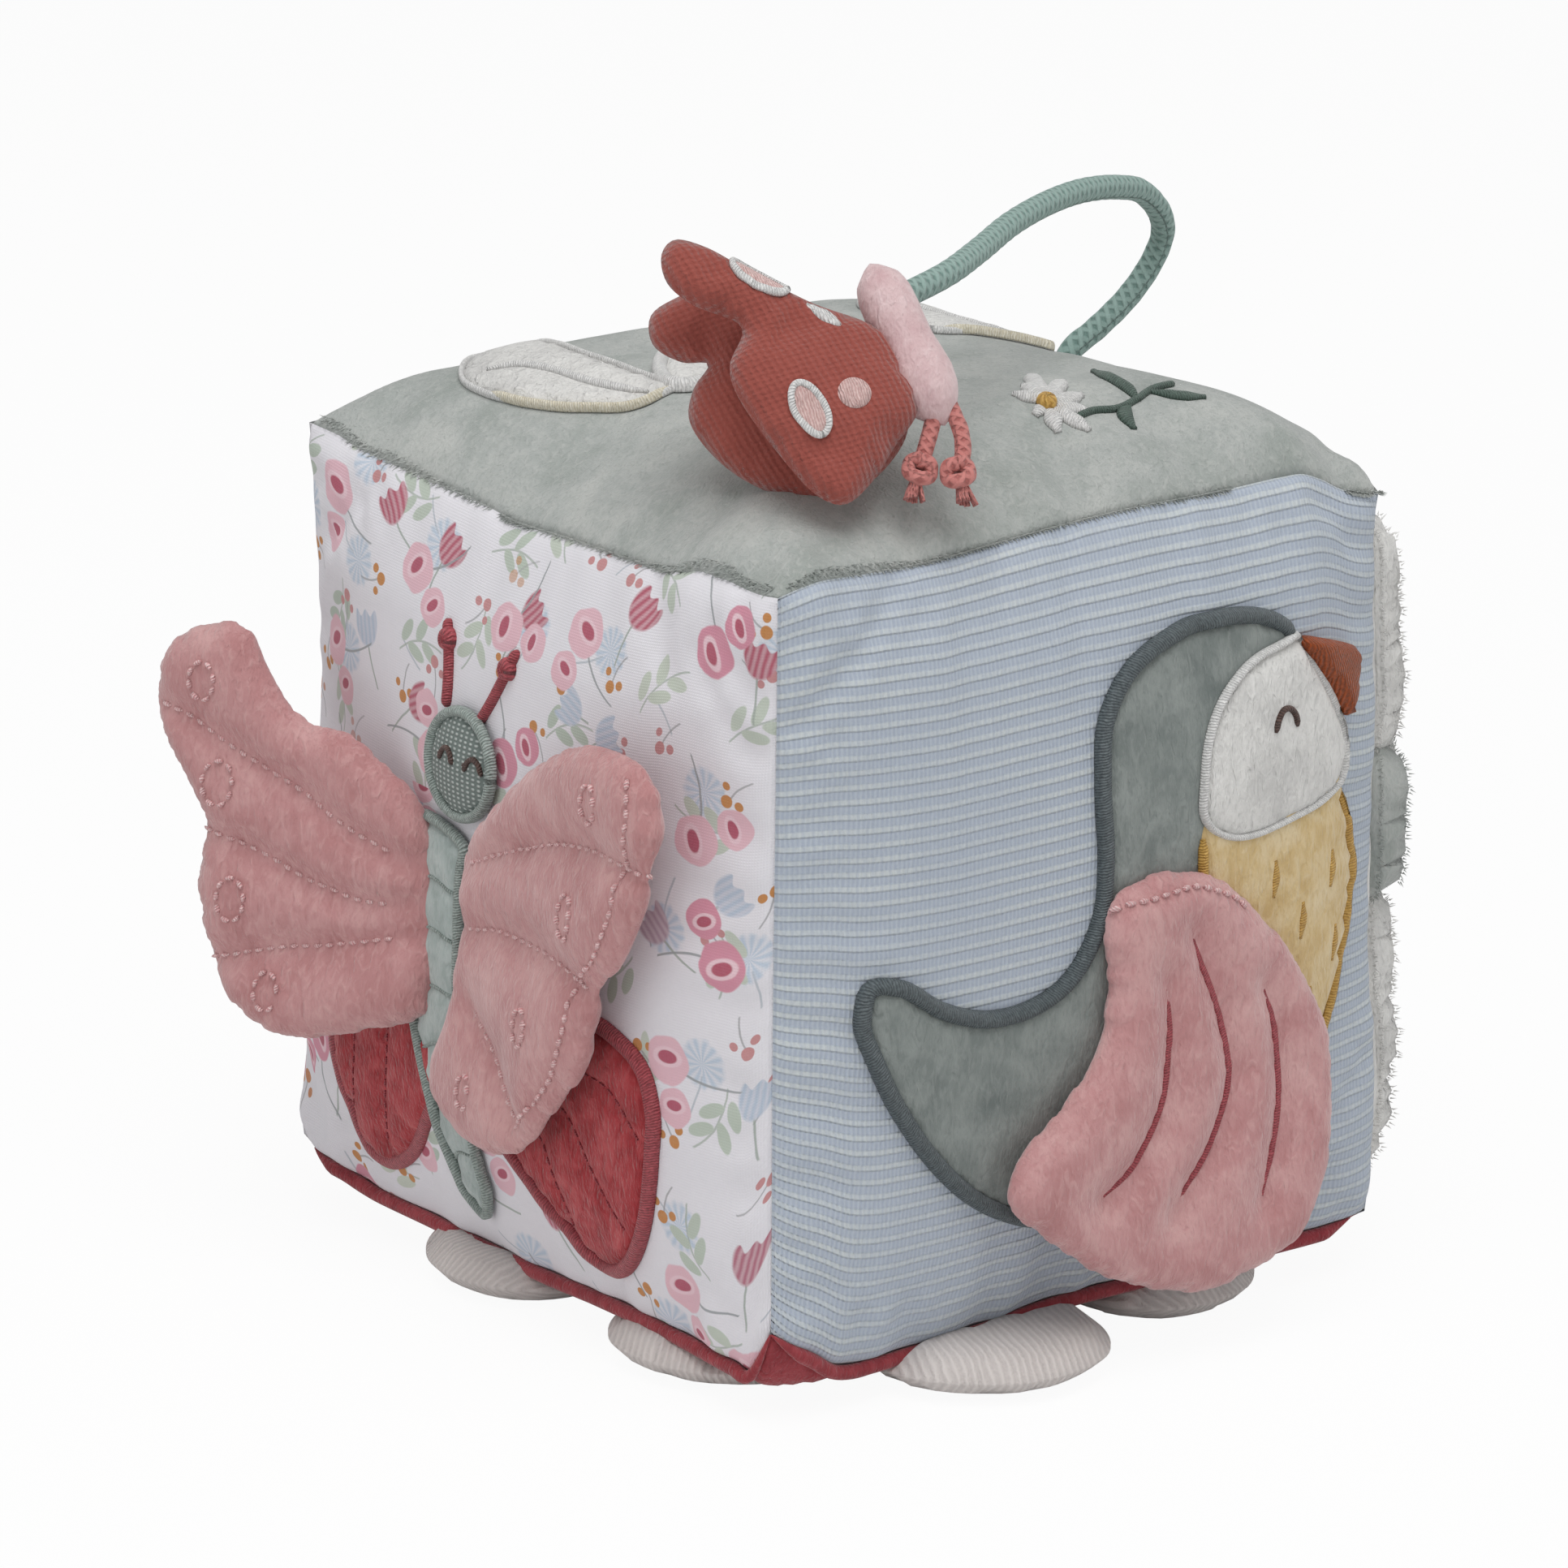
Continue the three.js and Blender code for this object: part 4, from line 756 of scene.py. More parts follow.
def pillow(outline, thick, lines, spacing, soft=7.0):
    """A stuffed shape in its own plane, thinner at its rim and at its sewn lines."""
    flat, faces = triangulate(outline, spacing, lines)
    swell = rounded(distance(flat, outline, True), soft)
    for line in lines:
        swell *= 1 - VEIN_PRESS * np.exp(-((distance(flat, line) / VEIN_WIDTH) ** 2))
    height = thick / 2 * swell
    edge = np.zeros(len(flat), bool)
    edge[np.array(border_of(faces)).ravel()] = True
    under = np.where(edge, np.arange(len(flat)), len(flat) + np.cumsum(~edge) - 1)
    points = np.vstack([np.column_stack([flat, height]), np.column_stack([flat, -height])[~edge]])
    shell = faces + [[int(under[i]) for i in reversed(face)] for face in faces]
    held = set(np.nonzero(edge)[0])
    for line in lines:
        sewn = np.nonzero(distance(flat, line) < VEIN_HELD)[0]
        held |= {*sewn, *under[sewn]}
    return points, shell, sorted(held)


# Cord and the toy's antenna cords
CORD_WIDTH, CORD_BRAID = 5.0, (5.2, 6, 0.28)
CORD_ROUTE = [
    (76.5, 26, 163.5), (79.2, 26, 168.2), (85.2, 25.5, 172), (93.2, 25, 177.9),
    (98.2, 24, 184.4), (99.3, 22, 190.6), (96.5, 19.5, 195.7), (87, 14.5, 202.6),
    (75, 8, 206.3), (58, -1, 209.4), (40.4, -11, 210.9), (22, -22, 211.1),
    (3.6, -34.5, 210.5), (-14.7, -46.9, 210.5), (-29.16, -58.72, 211.99),
]
CORD_TIP = (-3.5, 8.5, -2)  # in the toy's body, where the sewn end is
TOY_MIDDLE = np.array([-33.7, -61.4, 202.9])
TOY_TURN, TOY_LEAN = math.radians(-36), math.radians(28)
toy_right = np.array([math.cos(TOY_TURN), math.sin(TOY_TURN), 0])
toy_level = np.array([math.sin(TOY_TURN), -math.cos(TOY_TURN), 0])
toy_out = toy_level * math.cos(TOY_LEAN) + (0, 0, math.sin(TOY_LEAN))
TOY_AXES = np.stack([toy_right, np.cross(toy_out, toy_right), toy_out], 1)


def in_toy(points):
    return np.asarray(points, float) @ TOY_AXES.T + TOY_MIDDLE


cord_path = spline(CORD_ROUTE[:-1] + [in_toy(CORD_TIP)], 640)
cord = piece("braided_cord", tube(cord_path, CORD_WIDTH / 2 - 0.1, 40, braided(*CORD_BRAID)),
             "sage_cord", ["cord", "cord_stitched_end"], body="cord_loop")
cord_path[0] * MM
(cord_path[::4] * MM).tolist()

ANTENNA_WIDTH = 3.2
KNOT = [(0, 1.5, 1.6), (1.9, 0.9, 1.1), (2.0, -1.2, 0.4), (0.2, -2.0, 1.7), (-1.9, -0.8, 1.2),
        (-1.5, 1.4, 0.4), (0.6, 1.9, 1.6)]
FRAY = 16
for side, mirror, route in (
    ("near", 1, [(2.2, -3, 0), (4.2, -12, 0), (3.4, -16, 0.3), (2.2, -20.5, 0.5), (1, -24.5, 0.6)]),
    ("far", -1, [(3.4, -3, 0), (6.8, -12, 0), (8.8, -17, 0.2), (9.2, -21, 0.2), (8.3, -25, 0.6)]),
):
    path = in_toy(spline(route, 60))
    end = np.array(route[-1])
    knot_path = in_toy(spline(end + np.array(KNOT) * (mirror, 1, 1), 60))
    parts = [tube(path, ANTENNA_WIDTH / 2 - 0.1, 24, braided(3.6, 4, 0.22)),
             tube(knot_path, ANTENNA_WIDTH / 2 - 0.25, 20, braided(3.6, 4, 0.2))]
    tail = [end + (0, -1, 0.2), end + (-1.3 * mirror, -4.0, 0.8)]
    for number in range(FRAY):
        angle, spread = number * 2.4, 0.35 + 0.9 * ((number * 0.37) % 1)
        lean = np.array([math.cos(angle), 0, math.sin(angle)])
        tip = tail[1] + lean * spread * 1.9 + (0, -1.2 - spread, 0)
        strand = spline([tail[0], (tail[0] + tail[1]) / 2 + lean * 0.7, tip], 8)
        parts.append(tube(in_toy(strand), np.linspace(0.55, 0.3, 8), 6))
    antenna = piece(f"knotted_antenna_{side}", parts, "pink_cord", [f"toy_antenna_{side}"], body="toy")
    whole = np.vstack([path, in_toy(tail + [tail[1] + (0, -2.2, 0)])])

# The cube's shape
HALF = np.array([76.0, 76.0, 75.0])
SIDE_CROWN, TOP_CROWN, BOTTOM_CROWN, PULL = 7.0, 13.0, 1.0, 2.0
SIDES = {
    "bird": ((1, 0, 0), (0, 0, 1), (0, -1, 0), SIDE_CROWN, 3.0),
    "butterfly": ((0, -1, 0), (0, 0, 1), (-1, 0, 0), SIDE_CROWN, 3.0),
    "plush": ((0, 1, 0), (0, 0, 1), (1, 0, 0), SIDE_CROWN, 3.0),
    "back": ((-1, 0, 0), (0, 0, 1), (0, 1, 0), SIDE_CROWN, 3.0),
    "top": ((1, 0, 0), (0, 1, 0), (0, 0, 1), TOP_CROWN, 6.0),
    "bottom": ((1, 0, 0), (0, -1, 0), (0, 0, -1), BOTTOM_CROWN, 8.0),
}
# How far the corners in view lie off the even cube's: to the camera's right, and upwards
CORNER_SHIFTS = {
    (-1, -1, 1): (0, 0.3), (1, -1, 1): (-2.7, -1.8), (-1, 1, 1): (0, 0.8),
    (-1, -1, -1): (1.8, 5.8), (1, -1, -1): (1.2, -1.4), (-1, 1, -1): (-0.6, 0.8),
}
# The same for the seams, at shares along them: upright seams go right, the others upwards
SEAM_SHIFTS = {
    ("x", -1, 1): [(-1, 0.3), (-0.94, 1.4), (-0.84, 2.4), (-0.6, 2.5), (-0.42, 3.3),
                   (-0.21, 4.6), (0, 5.6), (0.21, 6), (0.42, 5.7), (0.63, 5.9), (0.72, 5.6),
                   (0.79, 3.8), (0.85, 1.7), (0.9, -0.6), (1, -1.8)],
    ("y", -1, 1): [(-1, 0.3), (-0.9, -0.2), (-0.8, 0.5), (-0.7, 0.6), (-0.6, -0.8),
                   (-0.45, -1.8), (-0.2, -1.9), (0, -2.4), (0.1, -2.7), (0.25, -1.7),
                   (0.5, -0.9), (0.75, -0.6), (0.9, 0.7), (1, 0.8)],
    ("y", -1, -1): [(-1, 5.8), (-0.94, -0.7), (-0.87, -3.7), (-0.6, -4.1), (-0.3, -5),
                    (0, -6.1), (0.2, -6), (0.4, -5.4), (0.63, -4.8), (0.8, -3),
                    (0.92, -1.9), (1, 0.8)],
    ("x", -1, -1): [(-1, 5.8), (-0.94, 2.6), (-0.86, -1.3), (-0.8, -4.6), (-0.7, -6.2),
                    (-0.5, -6.6), (-0.3, -6.3), (0, -5), (0.2, -5), (0.5, -4.5),
                    (0.8, -3.4), (0.9, -2.6), (1, -1.4)],
    ("z", -1, 1): [(-1, -0.6), (-0.9, -1.6), (-0.75, -1.3), (-0.5, -0.8), (0, 0), (0.3, 0.6),
                   (0.5, 0.8), (0.75, 0.4), (1, 0)],
    ("z", 1, -1): [(-1, 1.2), (-0.81, 2.9), (-0.56, 3.4), (-0.36, 2.3), (-0.13, 1.5),
                   (0.32, 1), (0.54, -0.5), (0.77, -1.9), (0.92, -2.9), (1, -2.7)],
    ("z", -1, -1): [(-1, 1.8), (0, 0.4), (1, 0)],
    ("x", 1, 1): [(-1, 0.8), (-0.7, 3.5), (0, 5), (0.5, 4), (0.85, 1.5), (1, 0)],
    ("y", 1, 1): [(-1, -1.8), (-0.85, 1.5), (-0.5, 1), (0, 0.5), (0.35, 0), (1, 0)],
}
FILL = {"top": 0.92, "bottom": 0.7}  # how full the covers are before they are puffed up


def basis(side):
    """The side's right, up and out directions as columns."""
    return np.array(SIDES[side][:3], float).T


def seam_shift(x, y, z):
    """How far a point of the even cube moves with the seams and corners around it."""

    def near(share, sign):
        return ((1 + sign * share) / 2) ** 2

    sideways, rise = np.zeros(x.shape), np.zeros(x.shape)
    for corner, (aside, high) in CORNER_SHIFTS.items():
        weight = near(x, corner[0]) * near(y, corner[1]) * near(z, corner[2])
        sideways, rise = sideways + weight * aside, rise + weight * high
    for (along, one, two), table in SEAM_SHIFTS.items():
        run, first, second = {"x": (x, y, z), "y": (y, x, z), "z": (z, x, y)}[along]
        value = np.interp(run, *spline(table, 200).T)
        value = value - near(run, -1) * table[0][1] - near(run, 1) * table[-1][1]
        value = value * near(first, one) * near(second, two)
        if along == "z":
            sideways = sideways + value
        else:
            rise = rise + value
    return sideways[..., None] * right + rise[..., None] * np.array([0, 0, 1.0])


def cover_point(side, a, b, fill):
    """A point of the block's surface at shares of a side's half sizes."""
    axes = basis(side)
    crown, power = SIDES[side][3:]
    half_u, half_v, half_w = abs(HALF @ axes)
    sag_a, sag_b = PULL * (1 - a**2), PULL * (1 - b**2)
    dome = (1 - np.abs(a) ** power) * (1 - np.abs(b) ** power)
    depth = half_w - sag_b * a**2 - sag_a * b**2 + fill * crown * dome
    local = np.stack([a * (half_u - sag_b), b * (half_v - sag_a), depth], -1)
    stand = a[..., None] * axes[:, 0] + b[..., None] * axes[:, 1] + axes[:, 2]
    return local @ axes.T + seam_shift(*np.moveaxis(stand, -1, 0)) + BLOCK_MIDDLE


def grid_faces(grid):
    """The squares of a grid of point numbers."""
    corners = grid[:-1, :-1], grid[:-1, 1:], grid[1:, 1:], grid[1:, :-1]
    return [tuple(map(int, face)) for face in np.stack(corners, -1).reshape(-1, 4)]


def sew_cube(cells):
    """The whole cube as one mesh, and each side's grid of its points."""
    found, points, grids, faces = {}, [], {}, []
    share = np.linspace(-1, 1, cells + 1)
    b, a = np.meshgrid(share, share, indexing="ij")
    for side in SIDES:
        places = cover_point(side, a, b, FILL.get(side, 0.6)).reshape(-1, 3)
        grid = []
        for place in places:
            key = tuple(np.round(place, 3))
            if key not in found:
                found[key] = len(points)
                points.append(place)
            grid.append(found[key])
        grids[side] = np.array(grid).reshape(a.shape)
        faces += grid_faces(grids[side])
    return np.array(points), faces, grids


def finer(count, times):
    """Weights that draw a smooth line through evenly spaced values."""
    weights = np.zeros(((count - 1) * times + 1, count))
    for row, values in enumerate(weights):
        first = min(row // times, count - 2)
        t = row / times - first
        parts = (-t + 2 * t**2 - t**3, 2 - 5 * t**2 + 3 * t**3, t + 4 * t**2 - 3 * t**3, t**3 - t**2)
        for place, part in zip(range(first - 1, first + 3), parts):
            near, far = (0, 1) if place < 0 else (count - 1, count - 2)
            if 0 <= place < count:
                values[place] += part / 2
            else:
                values[near] += part
                values[far] -= part / 2
    return weights


def waves(along, parts):
    """A sum of sines along a seam: each part is a pitch, a height and a phase."""
    return sum(high * np.sin(2 * math.pi * along / pitch + phase) for pitch, high, phase in parts)


# Folds below the top seam, above the lowest and beside the upright ones, with their reaches
FOLDS = {
    "bird": ([(23, 0.55, 0.4), (13.7, 0.35, 2.0), (9.1, 0.2, 4.0)],
             [(17, 0.45, 1.0), (10.3, 0.3, 0.2)], [(19, 0.35, 0.0), (11.3, 0.2, 2.4)],
             (22, 10, 9, 8)),
    "butterfly": ([(15.5, 0.6, 0.9), (9.3, 0.35, 3.1), (6.7, 0.2, 5.0)],
                  [(21, 0.5, 2.0), (12.1, 0.3, 1.2)], [(17, 0.5, 1.3), (9.9, 0.3, 0.6)],
                  (11, 12, 12, 9)),
}


def folds(side, u, v):
    """How far small folds push a cover out, near its seams."""
    edges = HALF[0] - v, v + HALF[2], u + HALF[0], HALF[0] - u
    if side in FOLDS:
        upper, lower, upright, reaches = FOLDS[side]
        fade = [np.exp(-edge / reach) for edge, reach in zip(edges, reaches)]
        return (waves(u, upper) * fade[0] + waves(u, lower) * fade[1]
                + waves(v, upright) * (fade[2] + fade[3]))
    return waves(u + 0.6 * v, [(27, 0.5, 0.3), (15.1, 0.3, 2.2)]) * np.exp(-np.min(edges, 0) / 12)


# The block's covers
CELLS, FINER = 30, 4
COVER, SEAM_DEPTH, SEAM_WIDTH, FOLDS_START = 1.6, 1.5, 1.6, 2.5
SEAM_TURN = 9  # the higher, the closer to a seam the cover turns towards the next side
COVER_PUFF = (1.5, 0.01, 3.5)
LOWEST_COVER = 5.5  # the block's weight keeps its bottom off the floor by this
COVERS = {
    "bird": ("bird_cover", "striped_cotton", ["bird_panel"]),
    "butterfly": ("butterfly_cover", "floral_cotton", ["butterfly_panel"]),
    "plush": ("white_cover", "white_plush", ["plush_panel"]),
    "back": ("back_cover", "dusty_red_plush", ["back_panel"]),
    "top": ("top_cover", "sage_plush", ["top_panel", "filling"]),
    "bottom": ("bottom_cover", "dusty_red_plush", ["bottom_panel"]),
}
cube_points, cube_faces, cube_grids = sew_cube(CELLS)
seams = {int(i) for g in cube_grids.values() for i in (*g[0], *g[-1], *g[:, 0], *g[:, -1])}
cube_points = puff([(cube_points, cube_faces, sorted(seams), *COVER_PUFF)])[0]
fine = finer(CELLS + 1, FINER)
size = len(fine)
share = np.linspace(-1, 1, size)
share_b, share_a = np.meshgrid(share, share, indexing="ij")
fine_faces = grid_faces(np.arange(size * size).reshape(size, size))
GROUND = {}
for side, (name, material, nodes) in COVERS.items():
    axes = basis(side)
    places = np.einsum("ri,ijk,cj->rck", fine, cube_points[cube_grids[side]], fine)
    stands = share_a[..., None] * axes[:, 0] + share_b[..., None] * axes[:, 1] + axes[:, 2]
    outward = np.sign(stands) * np.abs(stands) ** SEAM_TURN
    outward /= np.linalg.norm(outward, axis=-1, keepdims=True)
    u, v = np.moveaxis((places - BLOCK_MIDDLE) @ axes, -1, 0)[:2]
    edge_u, edge_v = [HALF[0] * (1 - np.abs(shares)) for shares in (share_a, share_b)]
    swell = SEAM_DEPTH * (1 - np.exp(-edge_u / SEAM_WIDTH)) * (1 - np.exp(-edge_v / SEAM_WIDTH))
    ruffle = folds(side, u, v) * (1 - np.exp(-np.minimum(edge_u, edge_v) / FOLDS_START))
    places = places + outward * (swell + ruffle)[..., None]
    places[..., 2] = np.maximum(places[..., 2], LOWEST_COVER)
    places = places.reshape(-1, 3)
    ground = GROUND[side] = Ground(places, fine_faces, BLOCK_MIDDLE, axes)
    inner = places - ground.normals * 0.2 - outward.reshape(-1, 3) * COVER
    cloth = np.stack([share_a, share_b], -1).reshape(-1, 2) * HALF[0]
    piece(name, closed_pad(cloth, fine_faces, places, inner), material, nodes,
          0.85 if side == "top" else 0.7)
BUTTERFLY, BIRD, PLUSH, TOP = (GROUND[side] for side in ("butterfly", "bird", "plush", "top"))

# Red plush that shows under the two lower seams in view
ROLL_OUT, ROLL_DOWN, ROLL_RADIUS = 0.9, 1.2, 1.5
lower_edge = GROUND["bottom"].points.reshape(size, size, 3)
for name, line, roll_at in (("bird", lower_edge[-1, :-3], (0, -ROLL_OUT, -ROLL_DOWN)),
                            ("butterfly", lower_edge[3:, 0], (-ROLL_OUT, 0, -ROLL_DOWN))):
    reach = np.clip(np.sin(np.linspace(0.02, 3.12, len(line))) * 6, 0.07, 1)
    roll = tube(line + reach[:, None] * np.array(roll_at), reach * ROLL_RADIUS, 12)
    piece(f"bottom_cover_{name}_roll", roll, "dusty_red_plush")

# Pile that stands out of the top's two seams in view
FRINGE, FRINGE_AT, FRINGE_REACH, FRINGE_HAIR = 700, 75.2, 74, (2.1, 0.24)
number = np.arange(FRINGE)
for name, row in (("left", 0), ("front", 1)):
    flat = np.full((FRINGE, 2), -FRINGE_AT)
    along = np.linspace(-0.985, 0.985, FRINGE) * FRINGE_REACH
    flat[:, 1 - row] = along + np.sin(number * 2.4) * 0.2
    flat[:, row] += 0.5 * np.sin(number * 1.7) + 0.6
    roots, normals = TOP.at(flat)
    stand = normals * 0.35 - TOP.axes[:, row]
    stand /= np.linalg.norm(stand, axis=1, keepdims=True)
    hairs(f"top_cover_{name}_fringe", roots, stand, *FRINGE_HAIR, "sage_plush")

# Lower wings of the butterfly: outline, sewn lines, dome, and the rim's height and lift
LOWER_WINGS = {
    "near": ([(22, -21.5), (32, -17.5), (40, -19), (47, -23), (50, -31), (49.5, -40), (47.5, -52),
              (43.5, -60.5), (37, -67.5), (30, -69), (21, -64), (7, -53.5), (-2, -45), (-1, -38),
              (10, -28)],
             [[(20, -29), (32, -28.5), (38.5, -30), (46.5, -38)],
              [(11, -35), (24.5, -38), (32, -48), (42, -59.5)],
              [(6, -41), (16, -45.5), (19, -51.5), (24, -64)]], 0.5, 1.7, 0.5),
    "far": ([(-20, -36), (-32, -29), (-46, -26), (-56, -32), (-58, -42), (-55, -54), (-51, -60.5),
             (-48, -66), (-42, -68.7), (-36, -67), (-28, -60), (-19, -47.5), (-15, -42)],
            [[(-46, -32), (-47.5, -50), (-49.5, -60)], [(-34, -36), (-36, -52), (-38.5, -65)]],
            0.9, 1.0, 0.3),
}
for side, (corners, quilting, dome, high, lift) in LOWER_WINGS.items():
    outline = anticlockwise(spline(corners, 120, True))
    veins = [lined(line) for line in quilting]
    velvet = applique(BUTTERFLY, outline, 1.4, lines=veins, dome=dome, groove=0.9)
    piece(f"lower_wing_{side}_velvet", velvet, "red_velvet", [f"lower_wing_{side}"], 0.5)
    piece(f"lower_wing_{side}_rim", ridge(BUTTERFLY, outline, 3.2, high, True, lift), "red_satin",
          [f"lower_wing_border_{side}"])
    on_velvet = over(BUTTERFLY, velvet)
    piece(f"lower_wing_{side}_stitches", [threads(on_velvet, vein, 1.6, 0.9, 0.45) for vein in veins],
          "red_satin")

# Body, head and antennae of the butterfly
ABDOMEN_LINE = [(0, 0), (-0.026, -0.16), (-0.026, -0.48), (0.026, -0.75), (0.09, -1)]
ABDOMEN_AT, ABDOMEN_LENGTH, ABDOMEN_HALF = (-15, 8.5), 76, 8.5
middle_line = spline(np.array(ABDOMEN_LINE) * ABDOMEN_LENGTH + ABDOMEN_AT, 60)
widths = np.interp(np.linspace(0, 1, 60), [0, 0.25, 0.5, 0.75, 1], [0.9, 1, 0.94, 0.74, 0.5])
ahead = np.gradient(middle_line, axis=0)
ahead /= np.linalg.norm(ahead, axis=1, keepdims=True)
aside = np.stack([-ahead[:, 1], ahead[:, 0]], 1) * widths[:, None] * ABDOMEN_HALF
tip = middle_line[-1] + ahead[-1] * 2.2
outline = np.vstack([middle_line - aside, tip[None], (middle_line + aside)[::-1]])
outline = spline(outline[::3], 150, True)
cross = [lined([middle_line[i] - aside[i] * 0.9, middle_line[i] - ahead[i] * 1.6,
                middle_line[i] + aside[i] * 0.9]) for i in (9, 17, 26, 35, 44, 52)]
abdomen = applique(BUTTERFLY, outline, 1.5, lines=cross, dome=0.6, lift=0.4)
piece("butterfly_body", abdomen, "mint_plush", ["butterfly_abdomen"], 0.5)
on_abdomen = over(BUTTERFLY, abdomen)
piece("butterfly_body_rim", [ridge(BUTTERFLY, outline, 2.2, 1.3, True, 1.3)]
      + [ridge(on_abdomen, line, 0.7, 0.35, lift=0.1) for line in cross], "sage_satin")

outline = ellipse((-9.0, 23.4), 20.6, 20.8)
head = applique(BUTTERFLY, outline, 1.3, lift=0.8, dome=2.0, spacing=1.6)
piece("butterfly_face", head, "ribbed_face", ["butterfly_head"], 0.7)
on_head = over(BUTTERFLY, head)
piece("butterfly_face_rim", ridge(BUTTERFLY, outline, 2.2, 1.5, True, 1.6), "sage_satin")
LID, LASH = [(-2.4, -1.6), (-1.3, 0.6), (0, 1.2), (1.4, 0.4), (2.4, -1.6)], [(-1.6, 0.2), (-3.0, -0.6)]
eyes = []
for at in ((-11.4, 25.4), (-3.0, 25.0)):
    eyes.append(ridge(on_head, lined(np.add(at, LID), 0.5), 1.1, 0.6, lift=0.15, taper=0.6))
    eyes.append(ridge(on_head, lined(np.add(at, LASH), 0.4), 0.6, 0.4, lift=0.15, taper=0.5))
piece("butterfly_eyes", eyes, "dark_satin")

for side, route in (("near", [(-5.2, 32.8), (-1.6, 38.0), (1.4, 43.0), (4.6, 49.0)]),
                    ("far", [(-16.6, 33.0), (-16.4, 37.5), (-17.0, 44.5), (-18.4, 50.0)])):
    line = lined(route, 0.6)
    knot_at = line[int(len(line) * 0.76)]
    bar = lined([knot_at - (1.0, 0), knot_at + (1.0, 0.1)], 0.4)
    piece(f"butterfly_antenna_{side}", [
        ridge(BUTTERFLY, line, 2.1, 1.3, lift=0.3, taper=0.8),
        ridge(BUTTERFLY, spline(ellipse(knot_at, 1.9, 2.4, 10), 16, True), 2.4, 1.9, True, 0.3),
        ridge(BUTTERFLY, bar, 3.4, 2.3, lift=0.3, taper=1.0),
    ], "red_satin", [f"antenna_{side}"])


# Stuffed wings, each in its own plane
def frame_of(side, hinge, depth, lean, about):
    """A wing's own frame: its hinge in the block's side and how far it stands off."""
    axes = basis(side)
    turn = Matrix.Rotation(math.radians(lean), 3, about)
    return BLOCK_MIDDLE + axes @ (*hinge, depth), axes @ np.array(turn)


WINGS = {
    "near_wing": {
        "thick": 8.0, "frame": frame_of("butterfly", (-5.4, 10.5), 89.1, -3.8, "Y"),
        "outline": [(2, -3), (9, 6), (25, 20), (41, 29.5), (55, 32.5), (66, 30.5), (70.5, 21),
                    (67.5, 10.5), (65.5, 2), (59, -9.5), (52, -16.5), (50, -23), (46, -34.5),
                    (36, -46), (23, -58.5), (8, -61.5), (-5, -57), (-8.5, -50), (-2, -35),
                    (1.5, -21), (2, -9.5)],
        "veins": [[(4, -4.5), (10, -2), (19, 2), (27.5, 5.3), (36, 8.4), (44, 10.4), (52.5, 11.4),
                   (60.5, 11), (69, 10.6)],
                  [(2.5, -17.5), (10, -15.8), (19, -13.7), (28, -13.4), (36.5, -13.7), (43.5, -15),
                   (51, -17.5)],
                  [(9, -32), (12, -35), (16.8, -39.1), (20.3, -44.6), (24.2, -51)]],
        "rim": [(63, 29), (64.5, 23), (62.8, 14), (60.4, 7), (59.5, 2), (56.5, -4), (53, -9.5),
                (48, -14), (45.5, -18.5), (44, -25), (41, -33), (36, -40.5), (30, -46.5), (23, -53)],
        "rings": [(52.7, 21.3, 4.2, 8), (45.3, -3, 3.8, 9.5), (30.9, -29, 3.6, 8),
                  (9.7, -48.7, 3.6, 7.5)],
    },
    "far_wing": {
        "thick": 8.0, "frame": frame_of("butterfly", (-19.4, 15.0), 86.5, 27, "Y"),
        "outline": [(0.3, -4), (-9.5, 5), (-17, 10), (-28, 12), (-35, 20), (-40, 28.5), (-48, 28.5),
                    (-57, 23.5), (-60.7, 14), (-59, 3), (-53.5, -6), (-50, -13.5), (-51.6, -25),
                    (-50, -36.5), (-47.6, -42.5), (-44, -50), (-35, -55), (-25, -55), (-12, -51),
                    (0.7, -45.5), (2, -25)],
        "veins": [[(-58.5, 10.6), (-51.6, 8.7), (-44.3, 4.8), (-39, 2.3), (-31.6, -0.8), (-26, -3.3),
                   (-21, -6.6), (-15.4, -9.6), (-8, -12.2), (0, -15)],
                  [(-49.5, -14.2), (-45, -14.8), (-39, -16.1), (-33.4, -17.7), (-26, -20.8),
                   (-20.7, -22), (-15, -23.3), (-8, -23.3), (0, -22.3)],
                  [(-48, -41), (-39, -38.1), (-30, -35.6), (-20.7, -33.8), (-11.7, -31.5), (0, -28.6)]],
        "rings": [(-48, 17, 5.6, 8), (-44.7, -3.6, 6.6, 9), (-41.6, -27, 6.2, 9), (-33.8, -45, 5.2, 8)],
    },
    "bird_wing": {
        "thick": 8.2, "frame": frame_of("bird", (7.5, 12.0), 88.25, -4, "X"),
        "outline": [(-12, -5.5), (-8.5, -2.5), (4, -1), (16, -4.5), (27, -14), (36.5, -25.5),
                    (43.5, -39.5), (45, -56), (43, -69), (37.5, -80.5), (27, -85.5), (11, -88),
                    (-1.6, -85), (-16, -78.7), (-30, -68), (-37.5, -61), (-36, -52.5),
                    (-25.5, -44), (-15.5, -34), (-12.7, -24), (-13, -12)],
        "veins": [[(1, -22.7), (1.5, -30.5), (1, -38.5), (-0.5, -46.4), (-3.6, -52.2), (-8.8, -58.5),
                   (-16, -63)],
                  [(7.7, -14.7), (10.5, -22.5), (14, -31.3), (16, -39.8), (16.5, -45), (14.6, -51),
                   (10.8, -58.4), (5.5, -64.7), (2.4, -69)],
                  [(25.6, -28), (28, -35.6), (29, -44), (29.3, -50.6), (28.2, -58.6), (26.4, -65.7),
                   (25, -71.2)]],
        "rim": [(-12, -7), (-9.2, -5.7), (-3, -5.4), (2, -4.9), (8, -4.9), (13, -6.6), (18.5, -9.4),
                (22.2, -13)],
    },
}
SEWN_DEPTH, SEWN_WIDTH, WING_GRID, WING_PUFF = 0.9, 1.5, 2.8, (2.0, 0.006, 1.6)
pillows = []
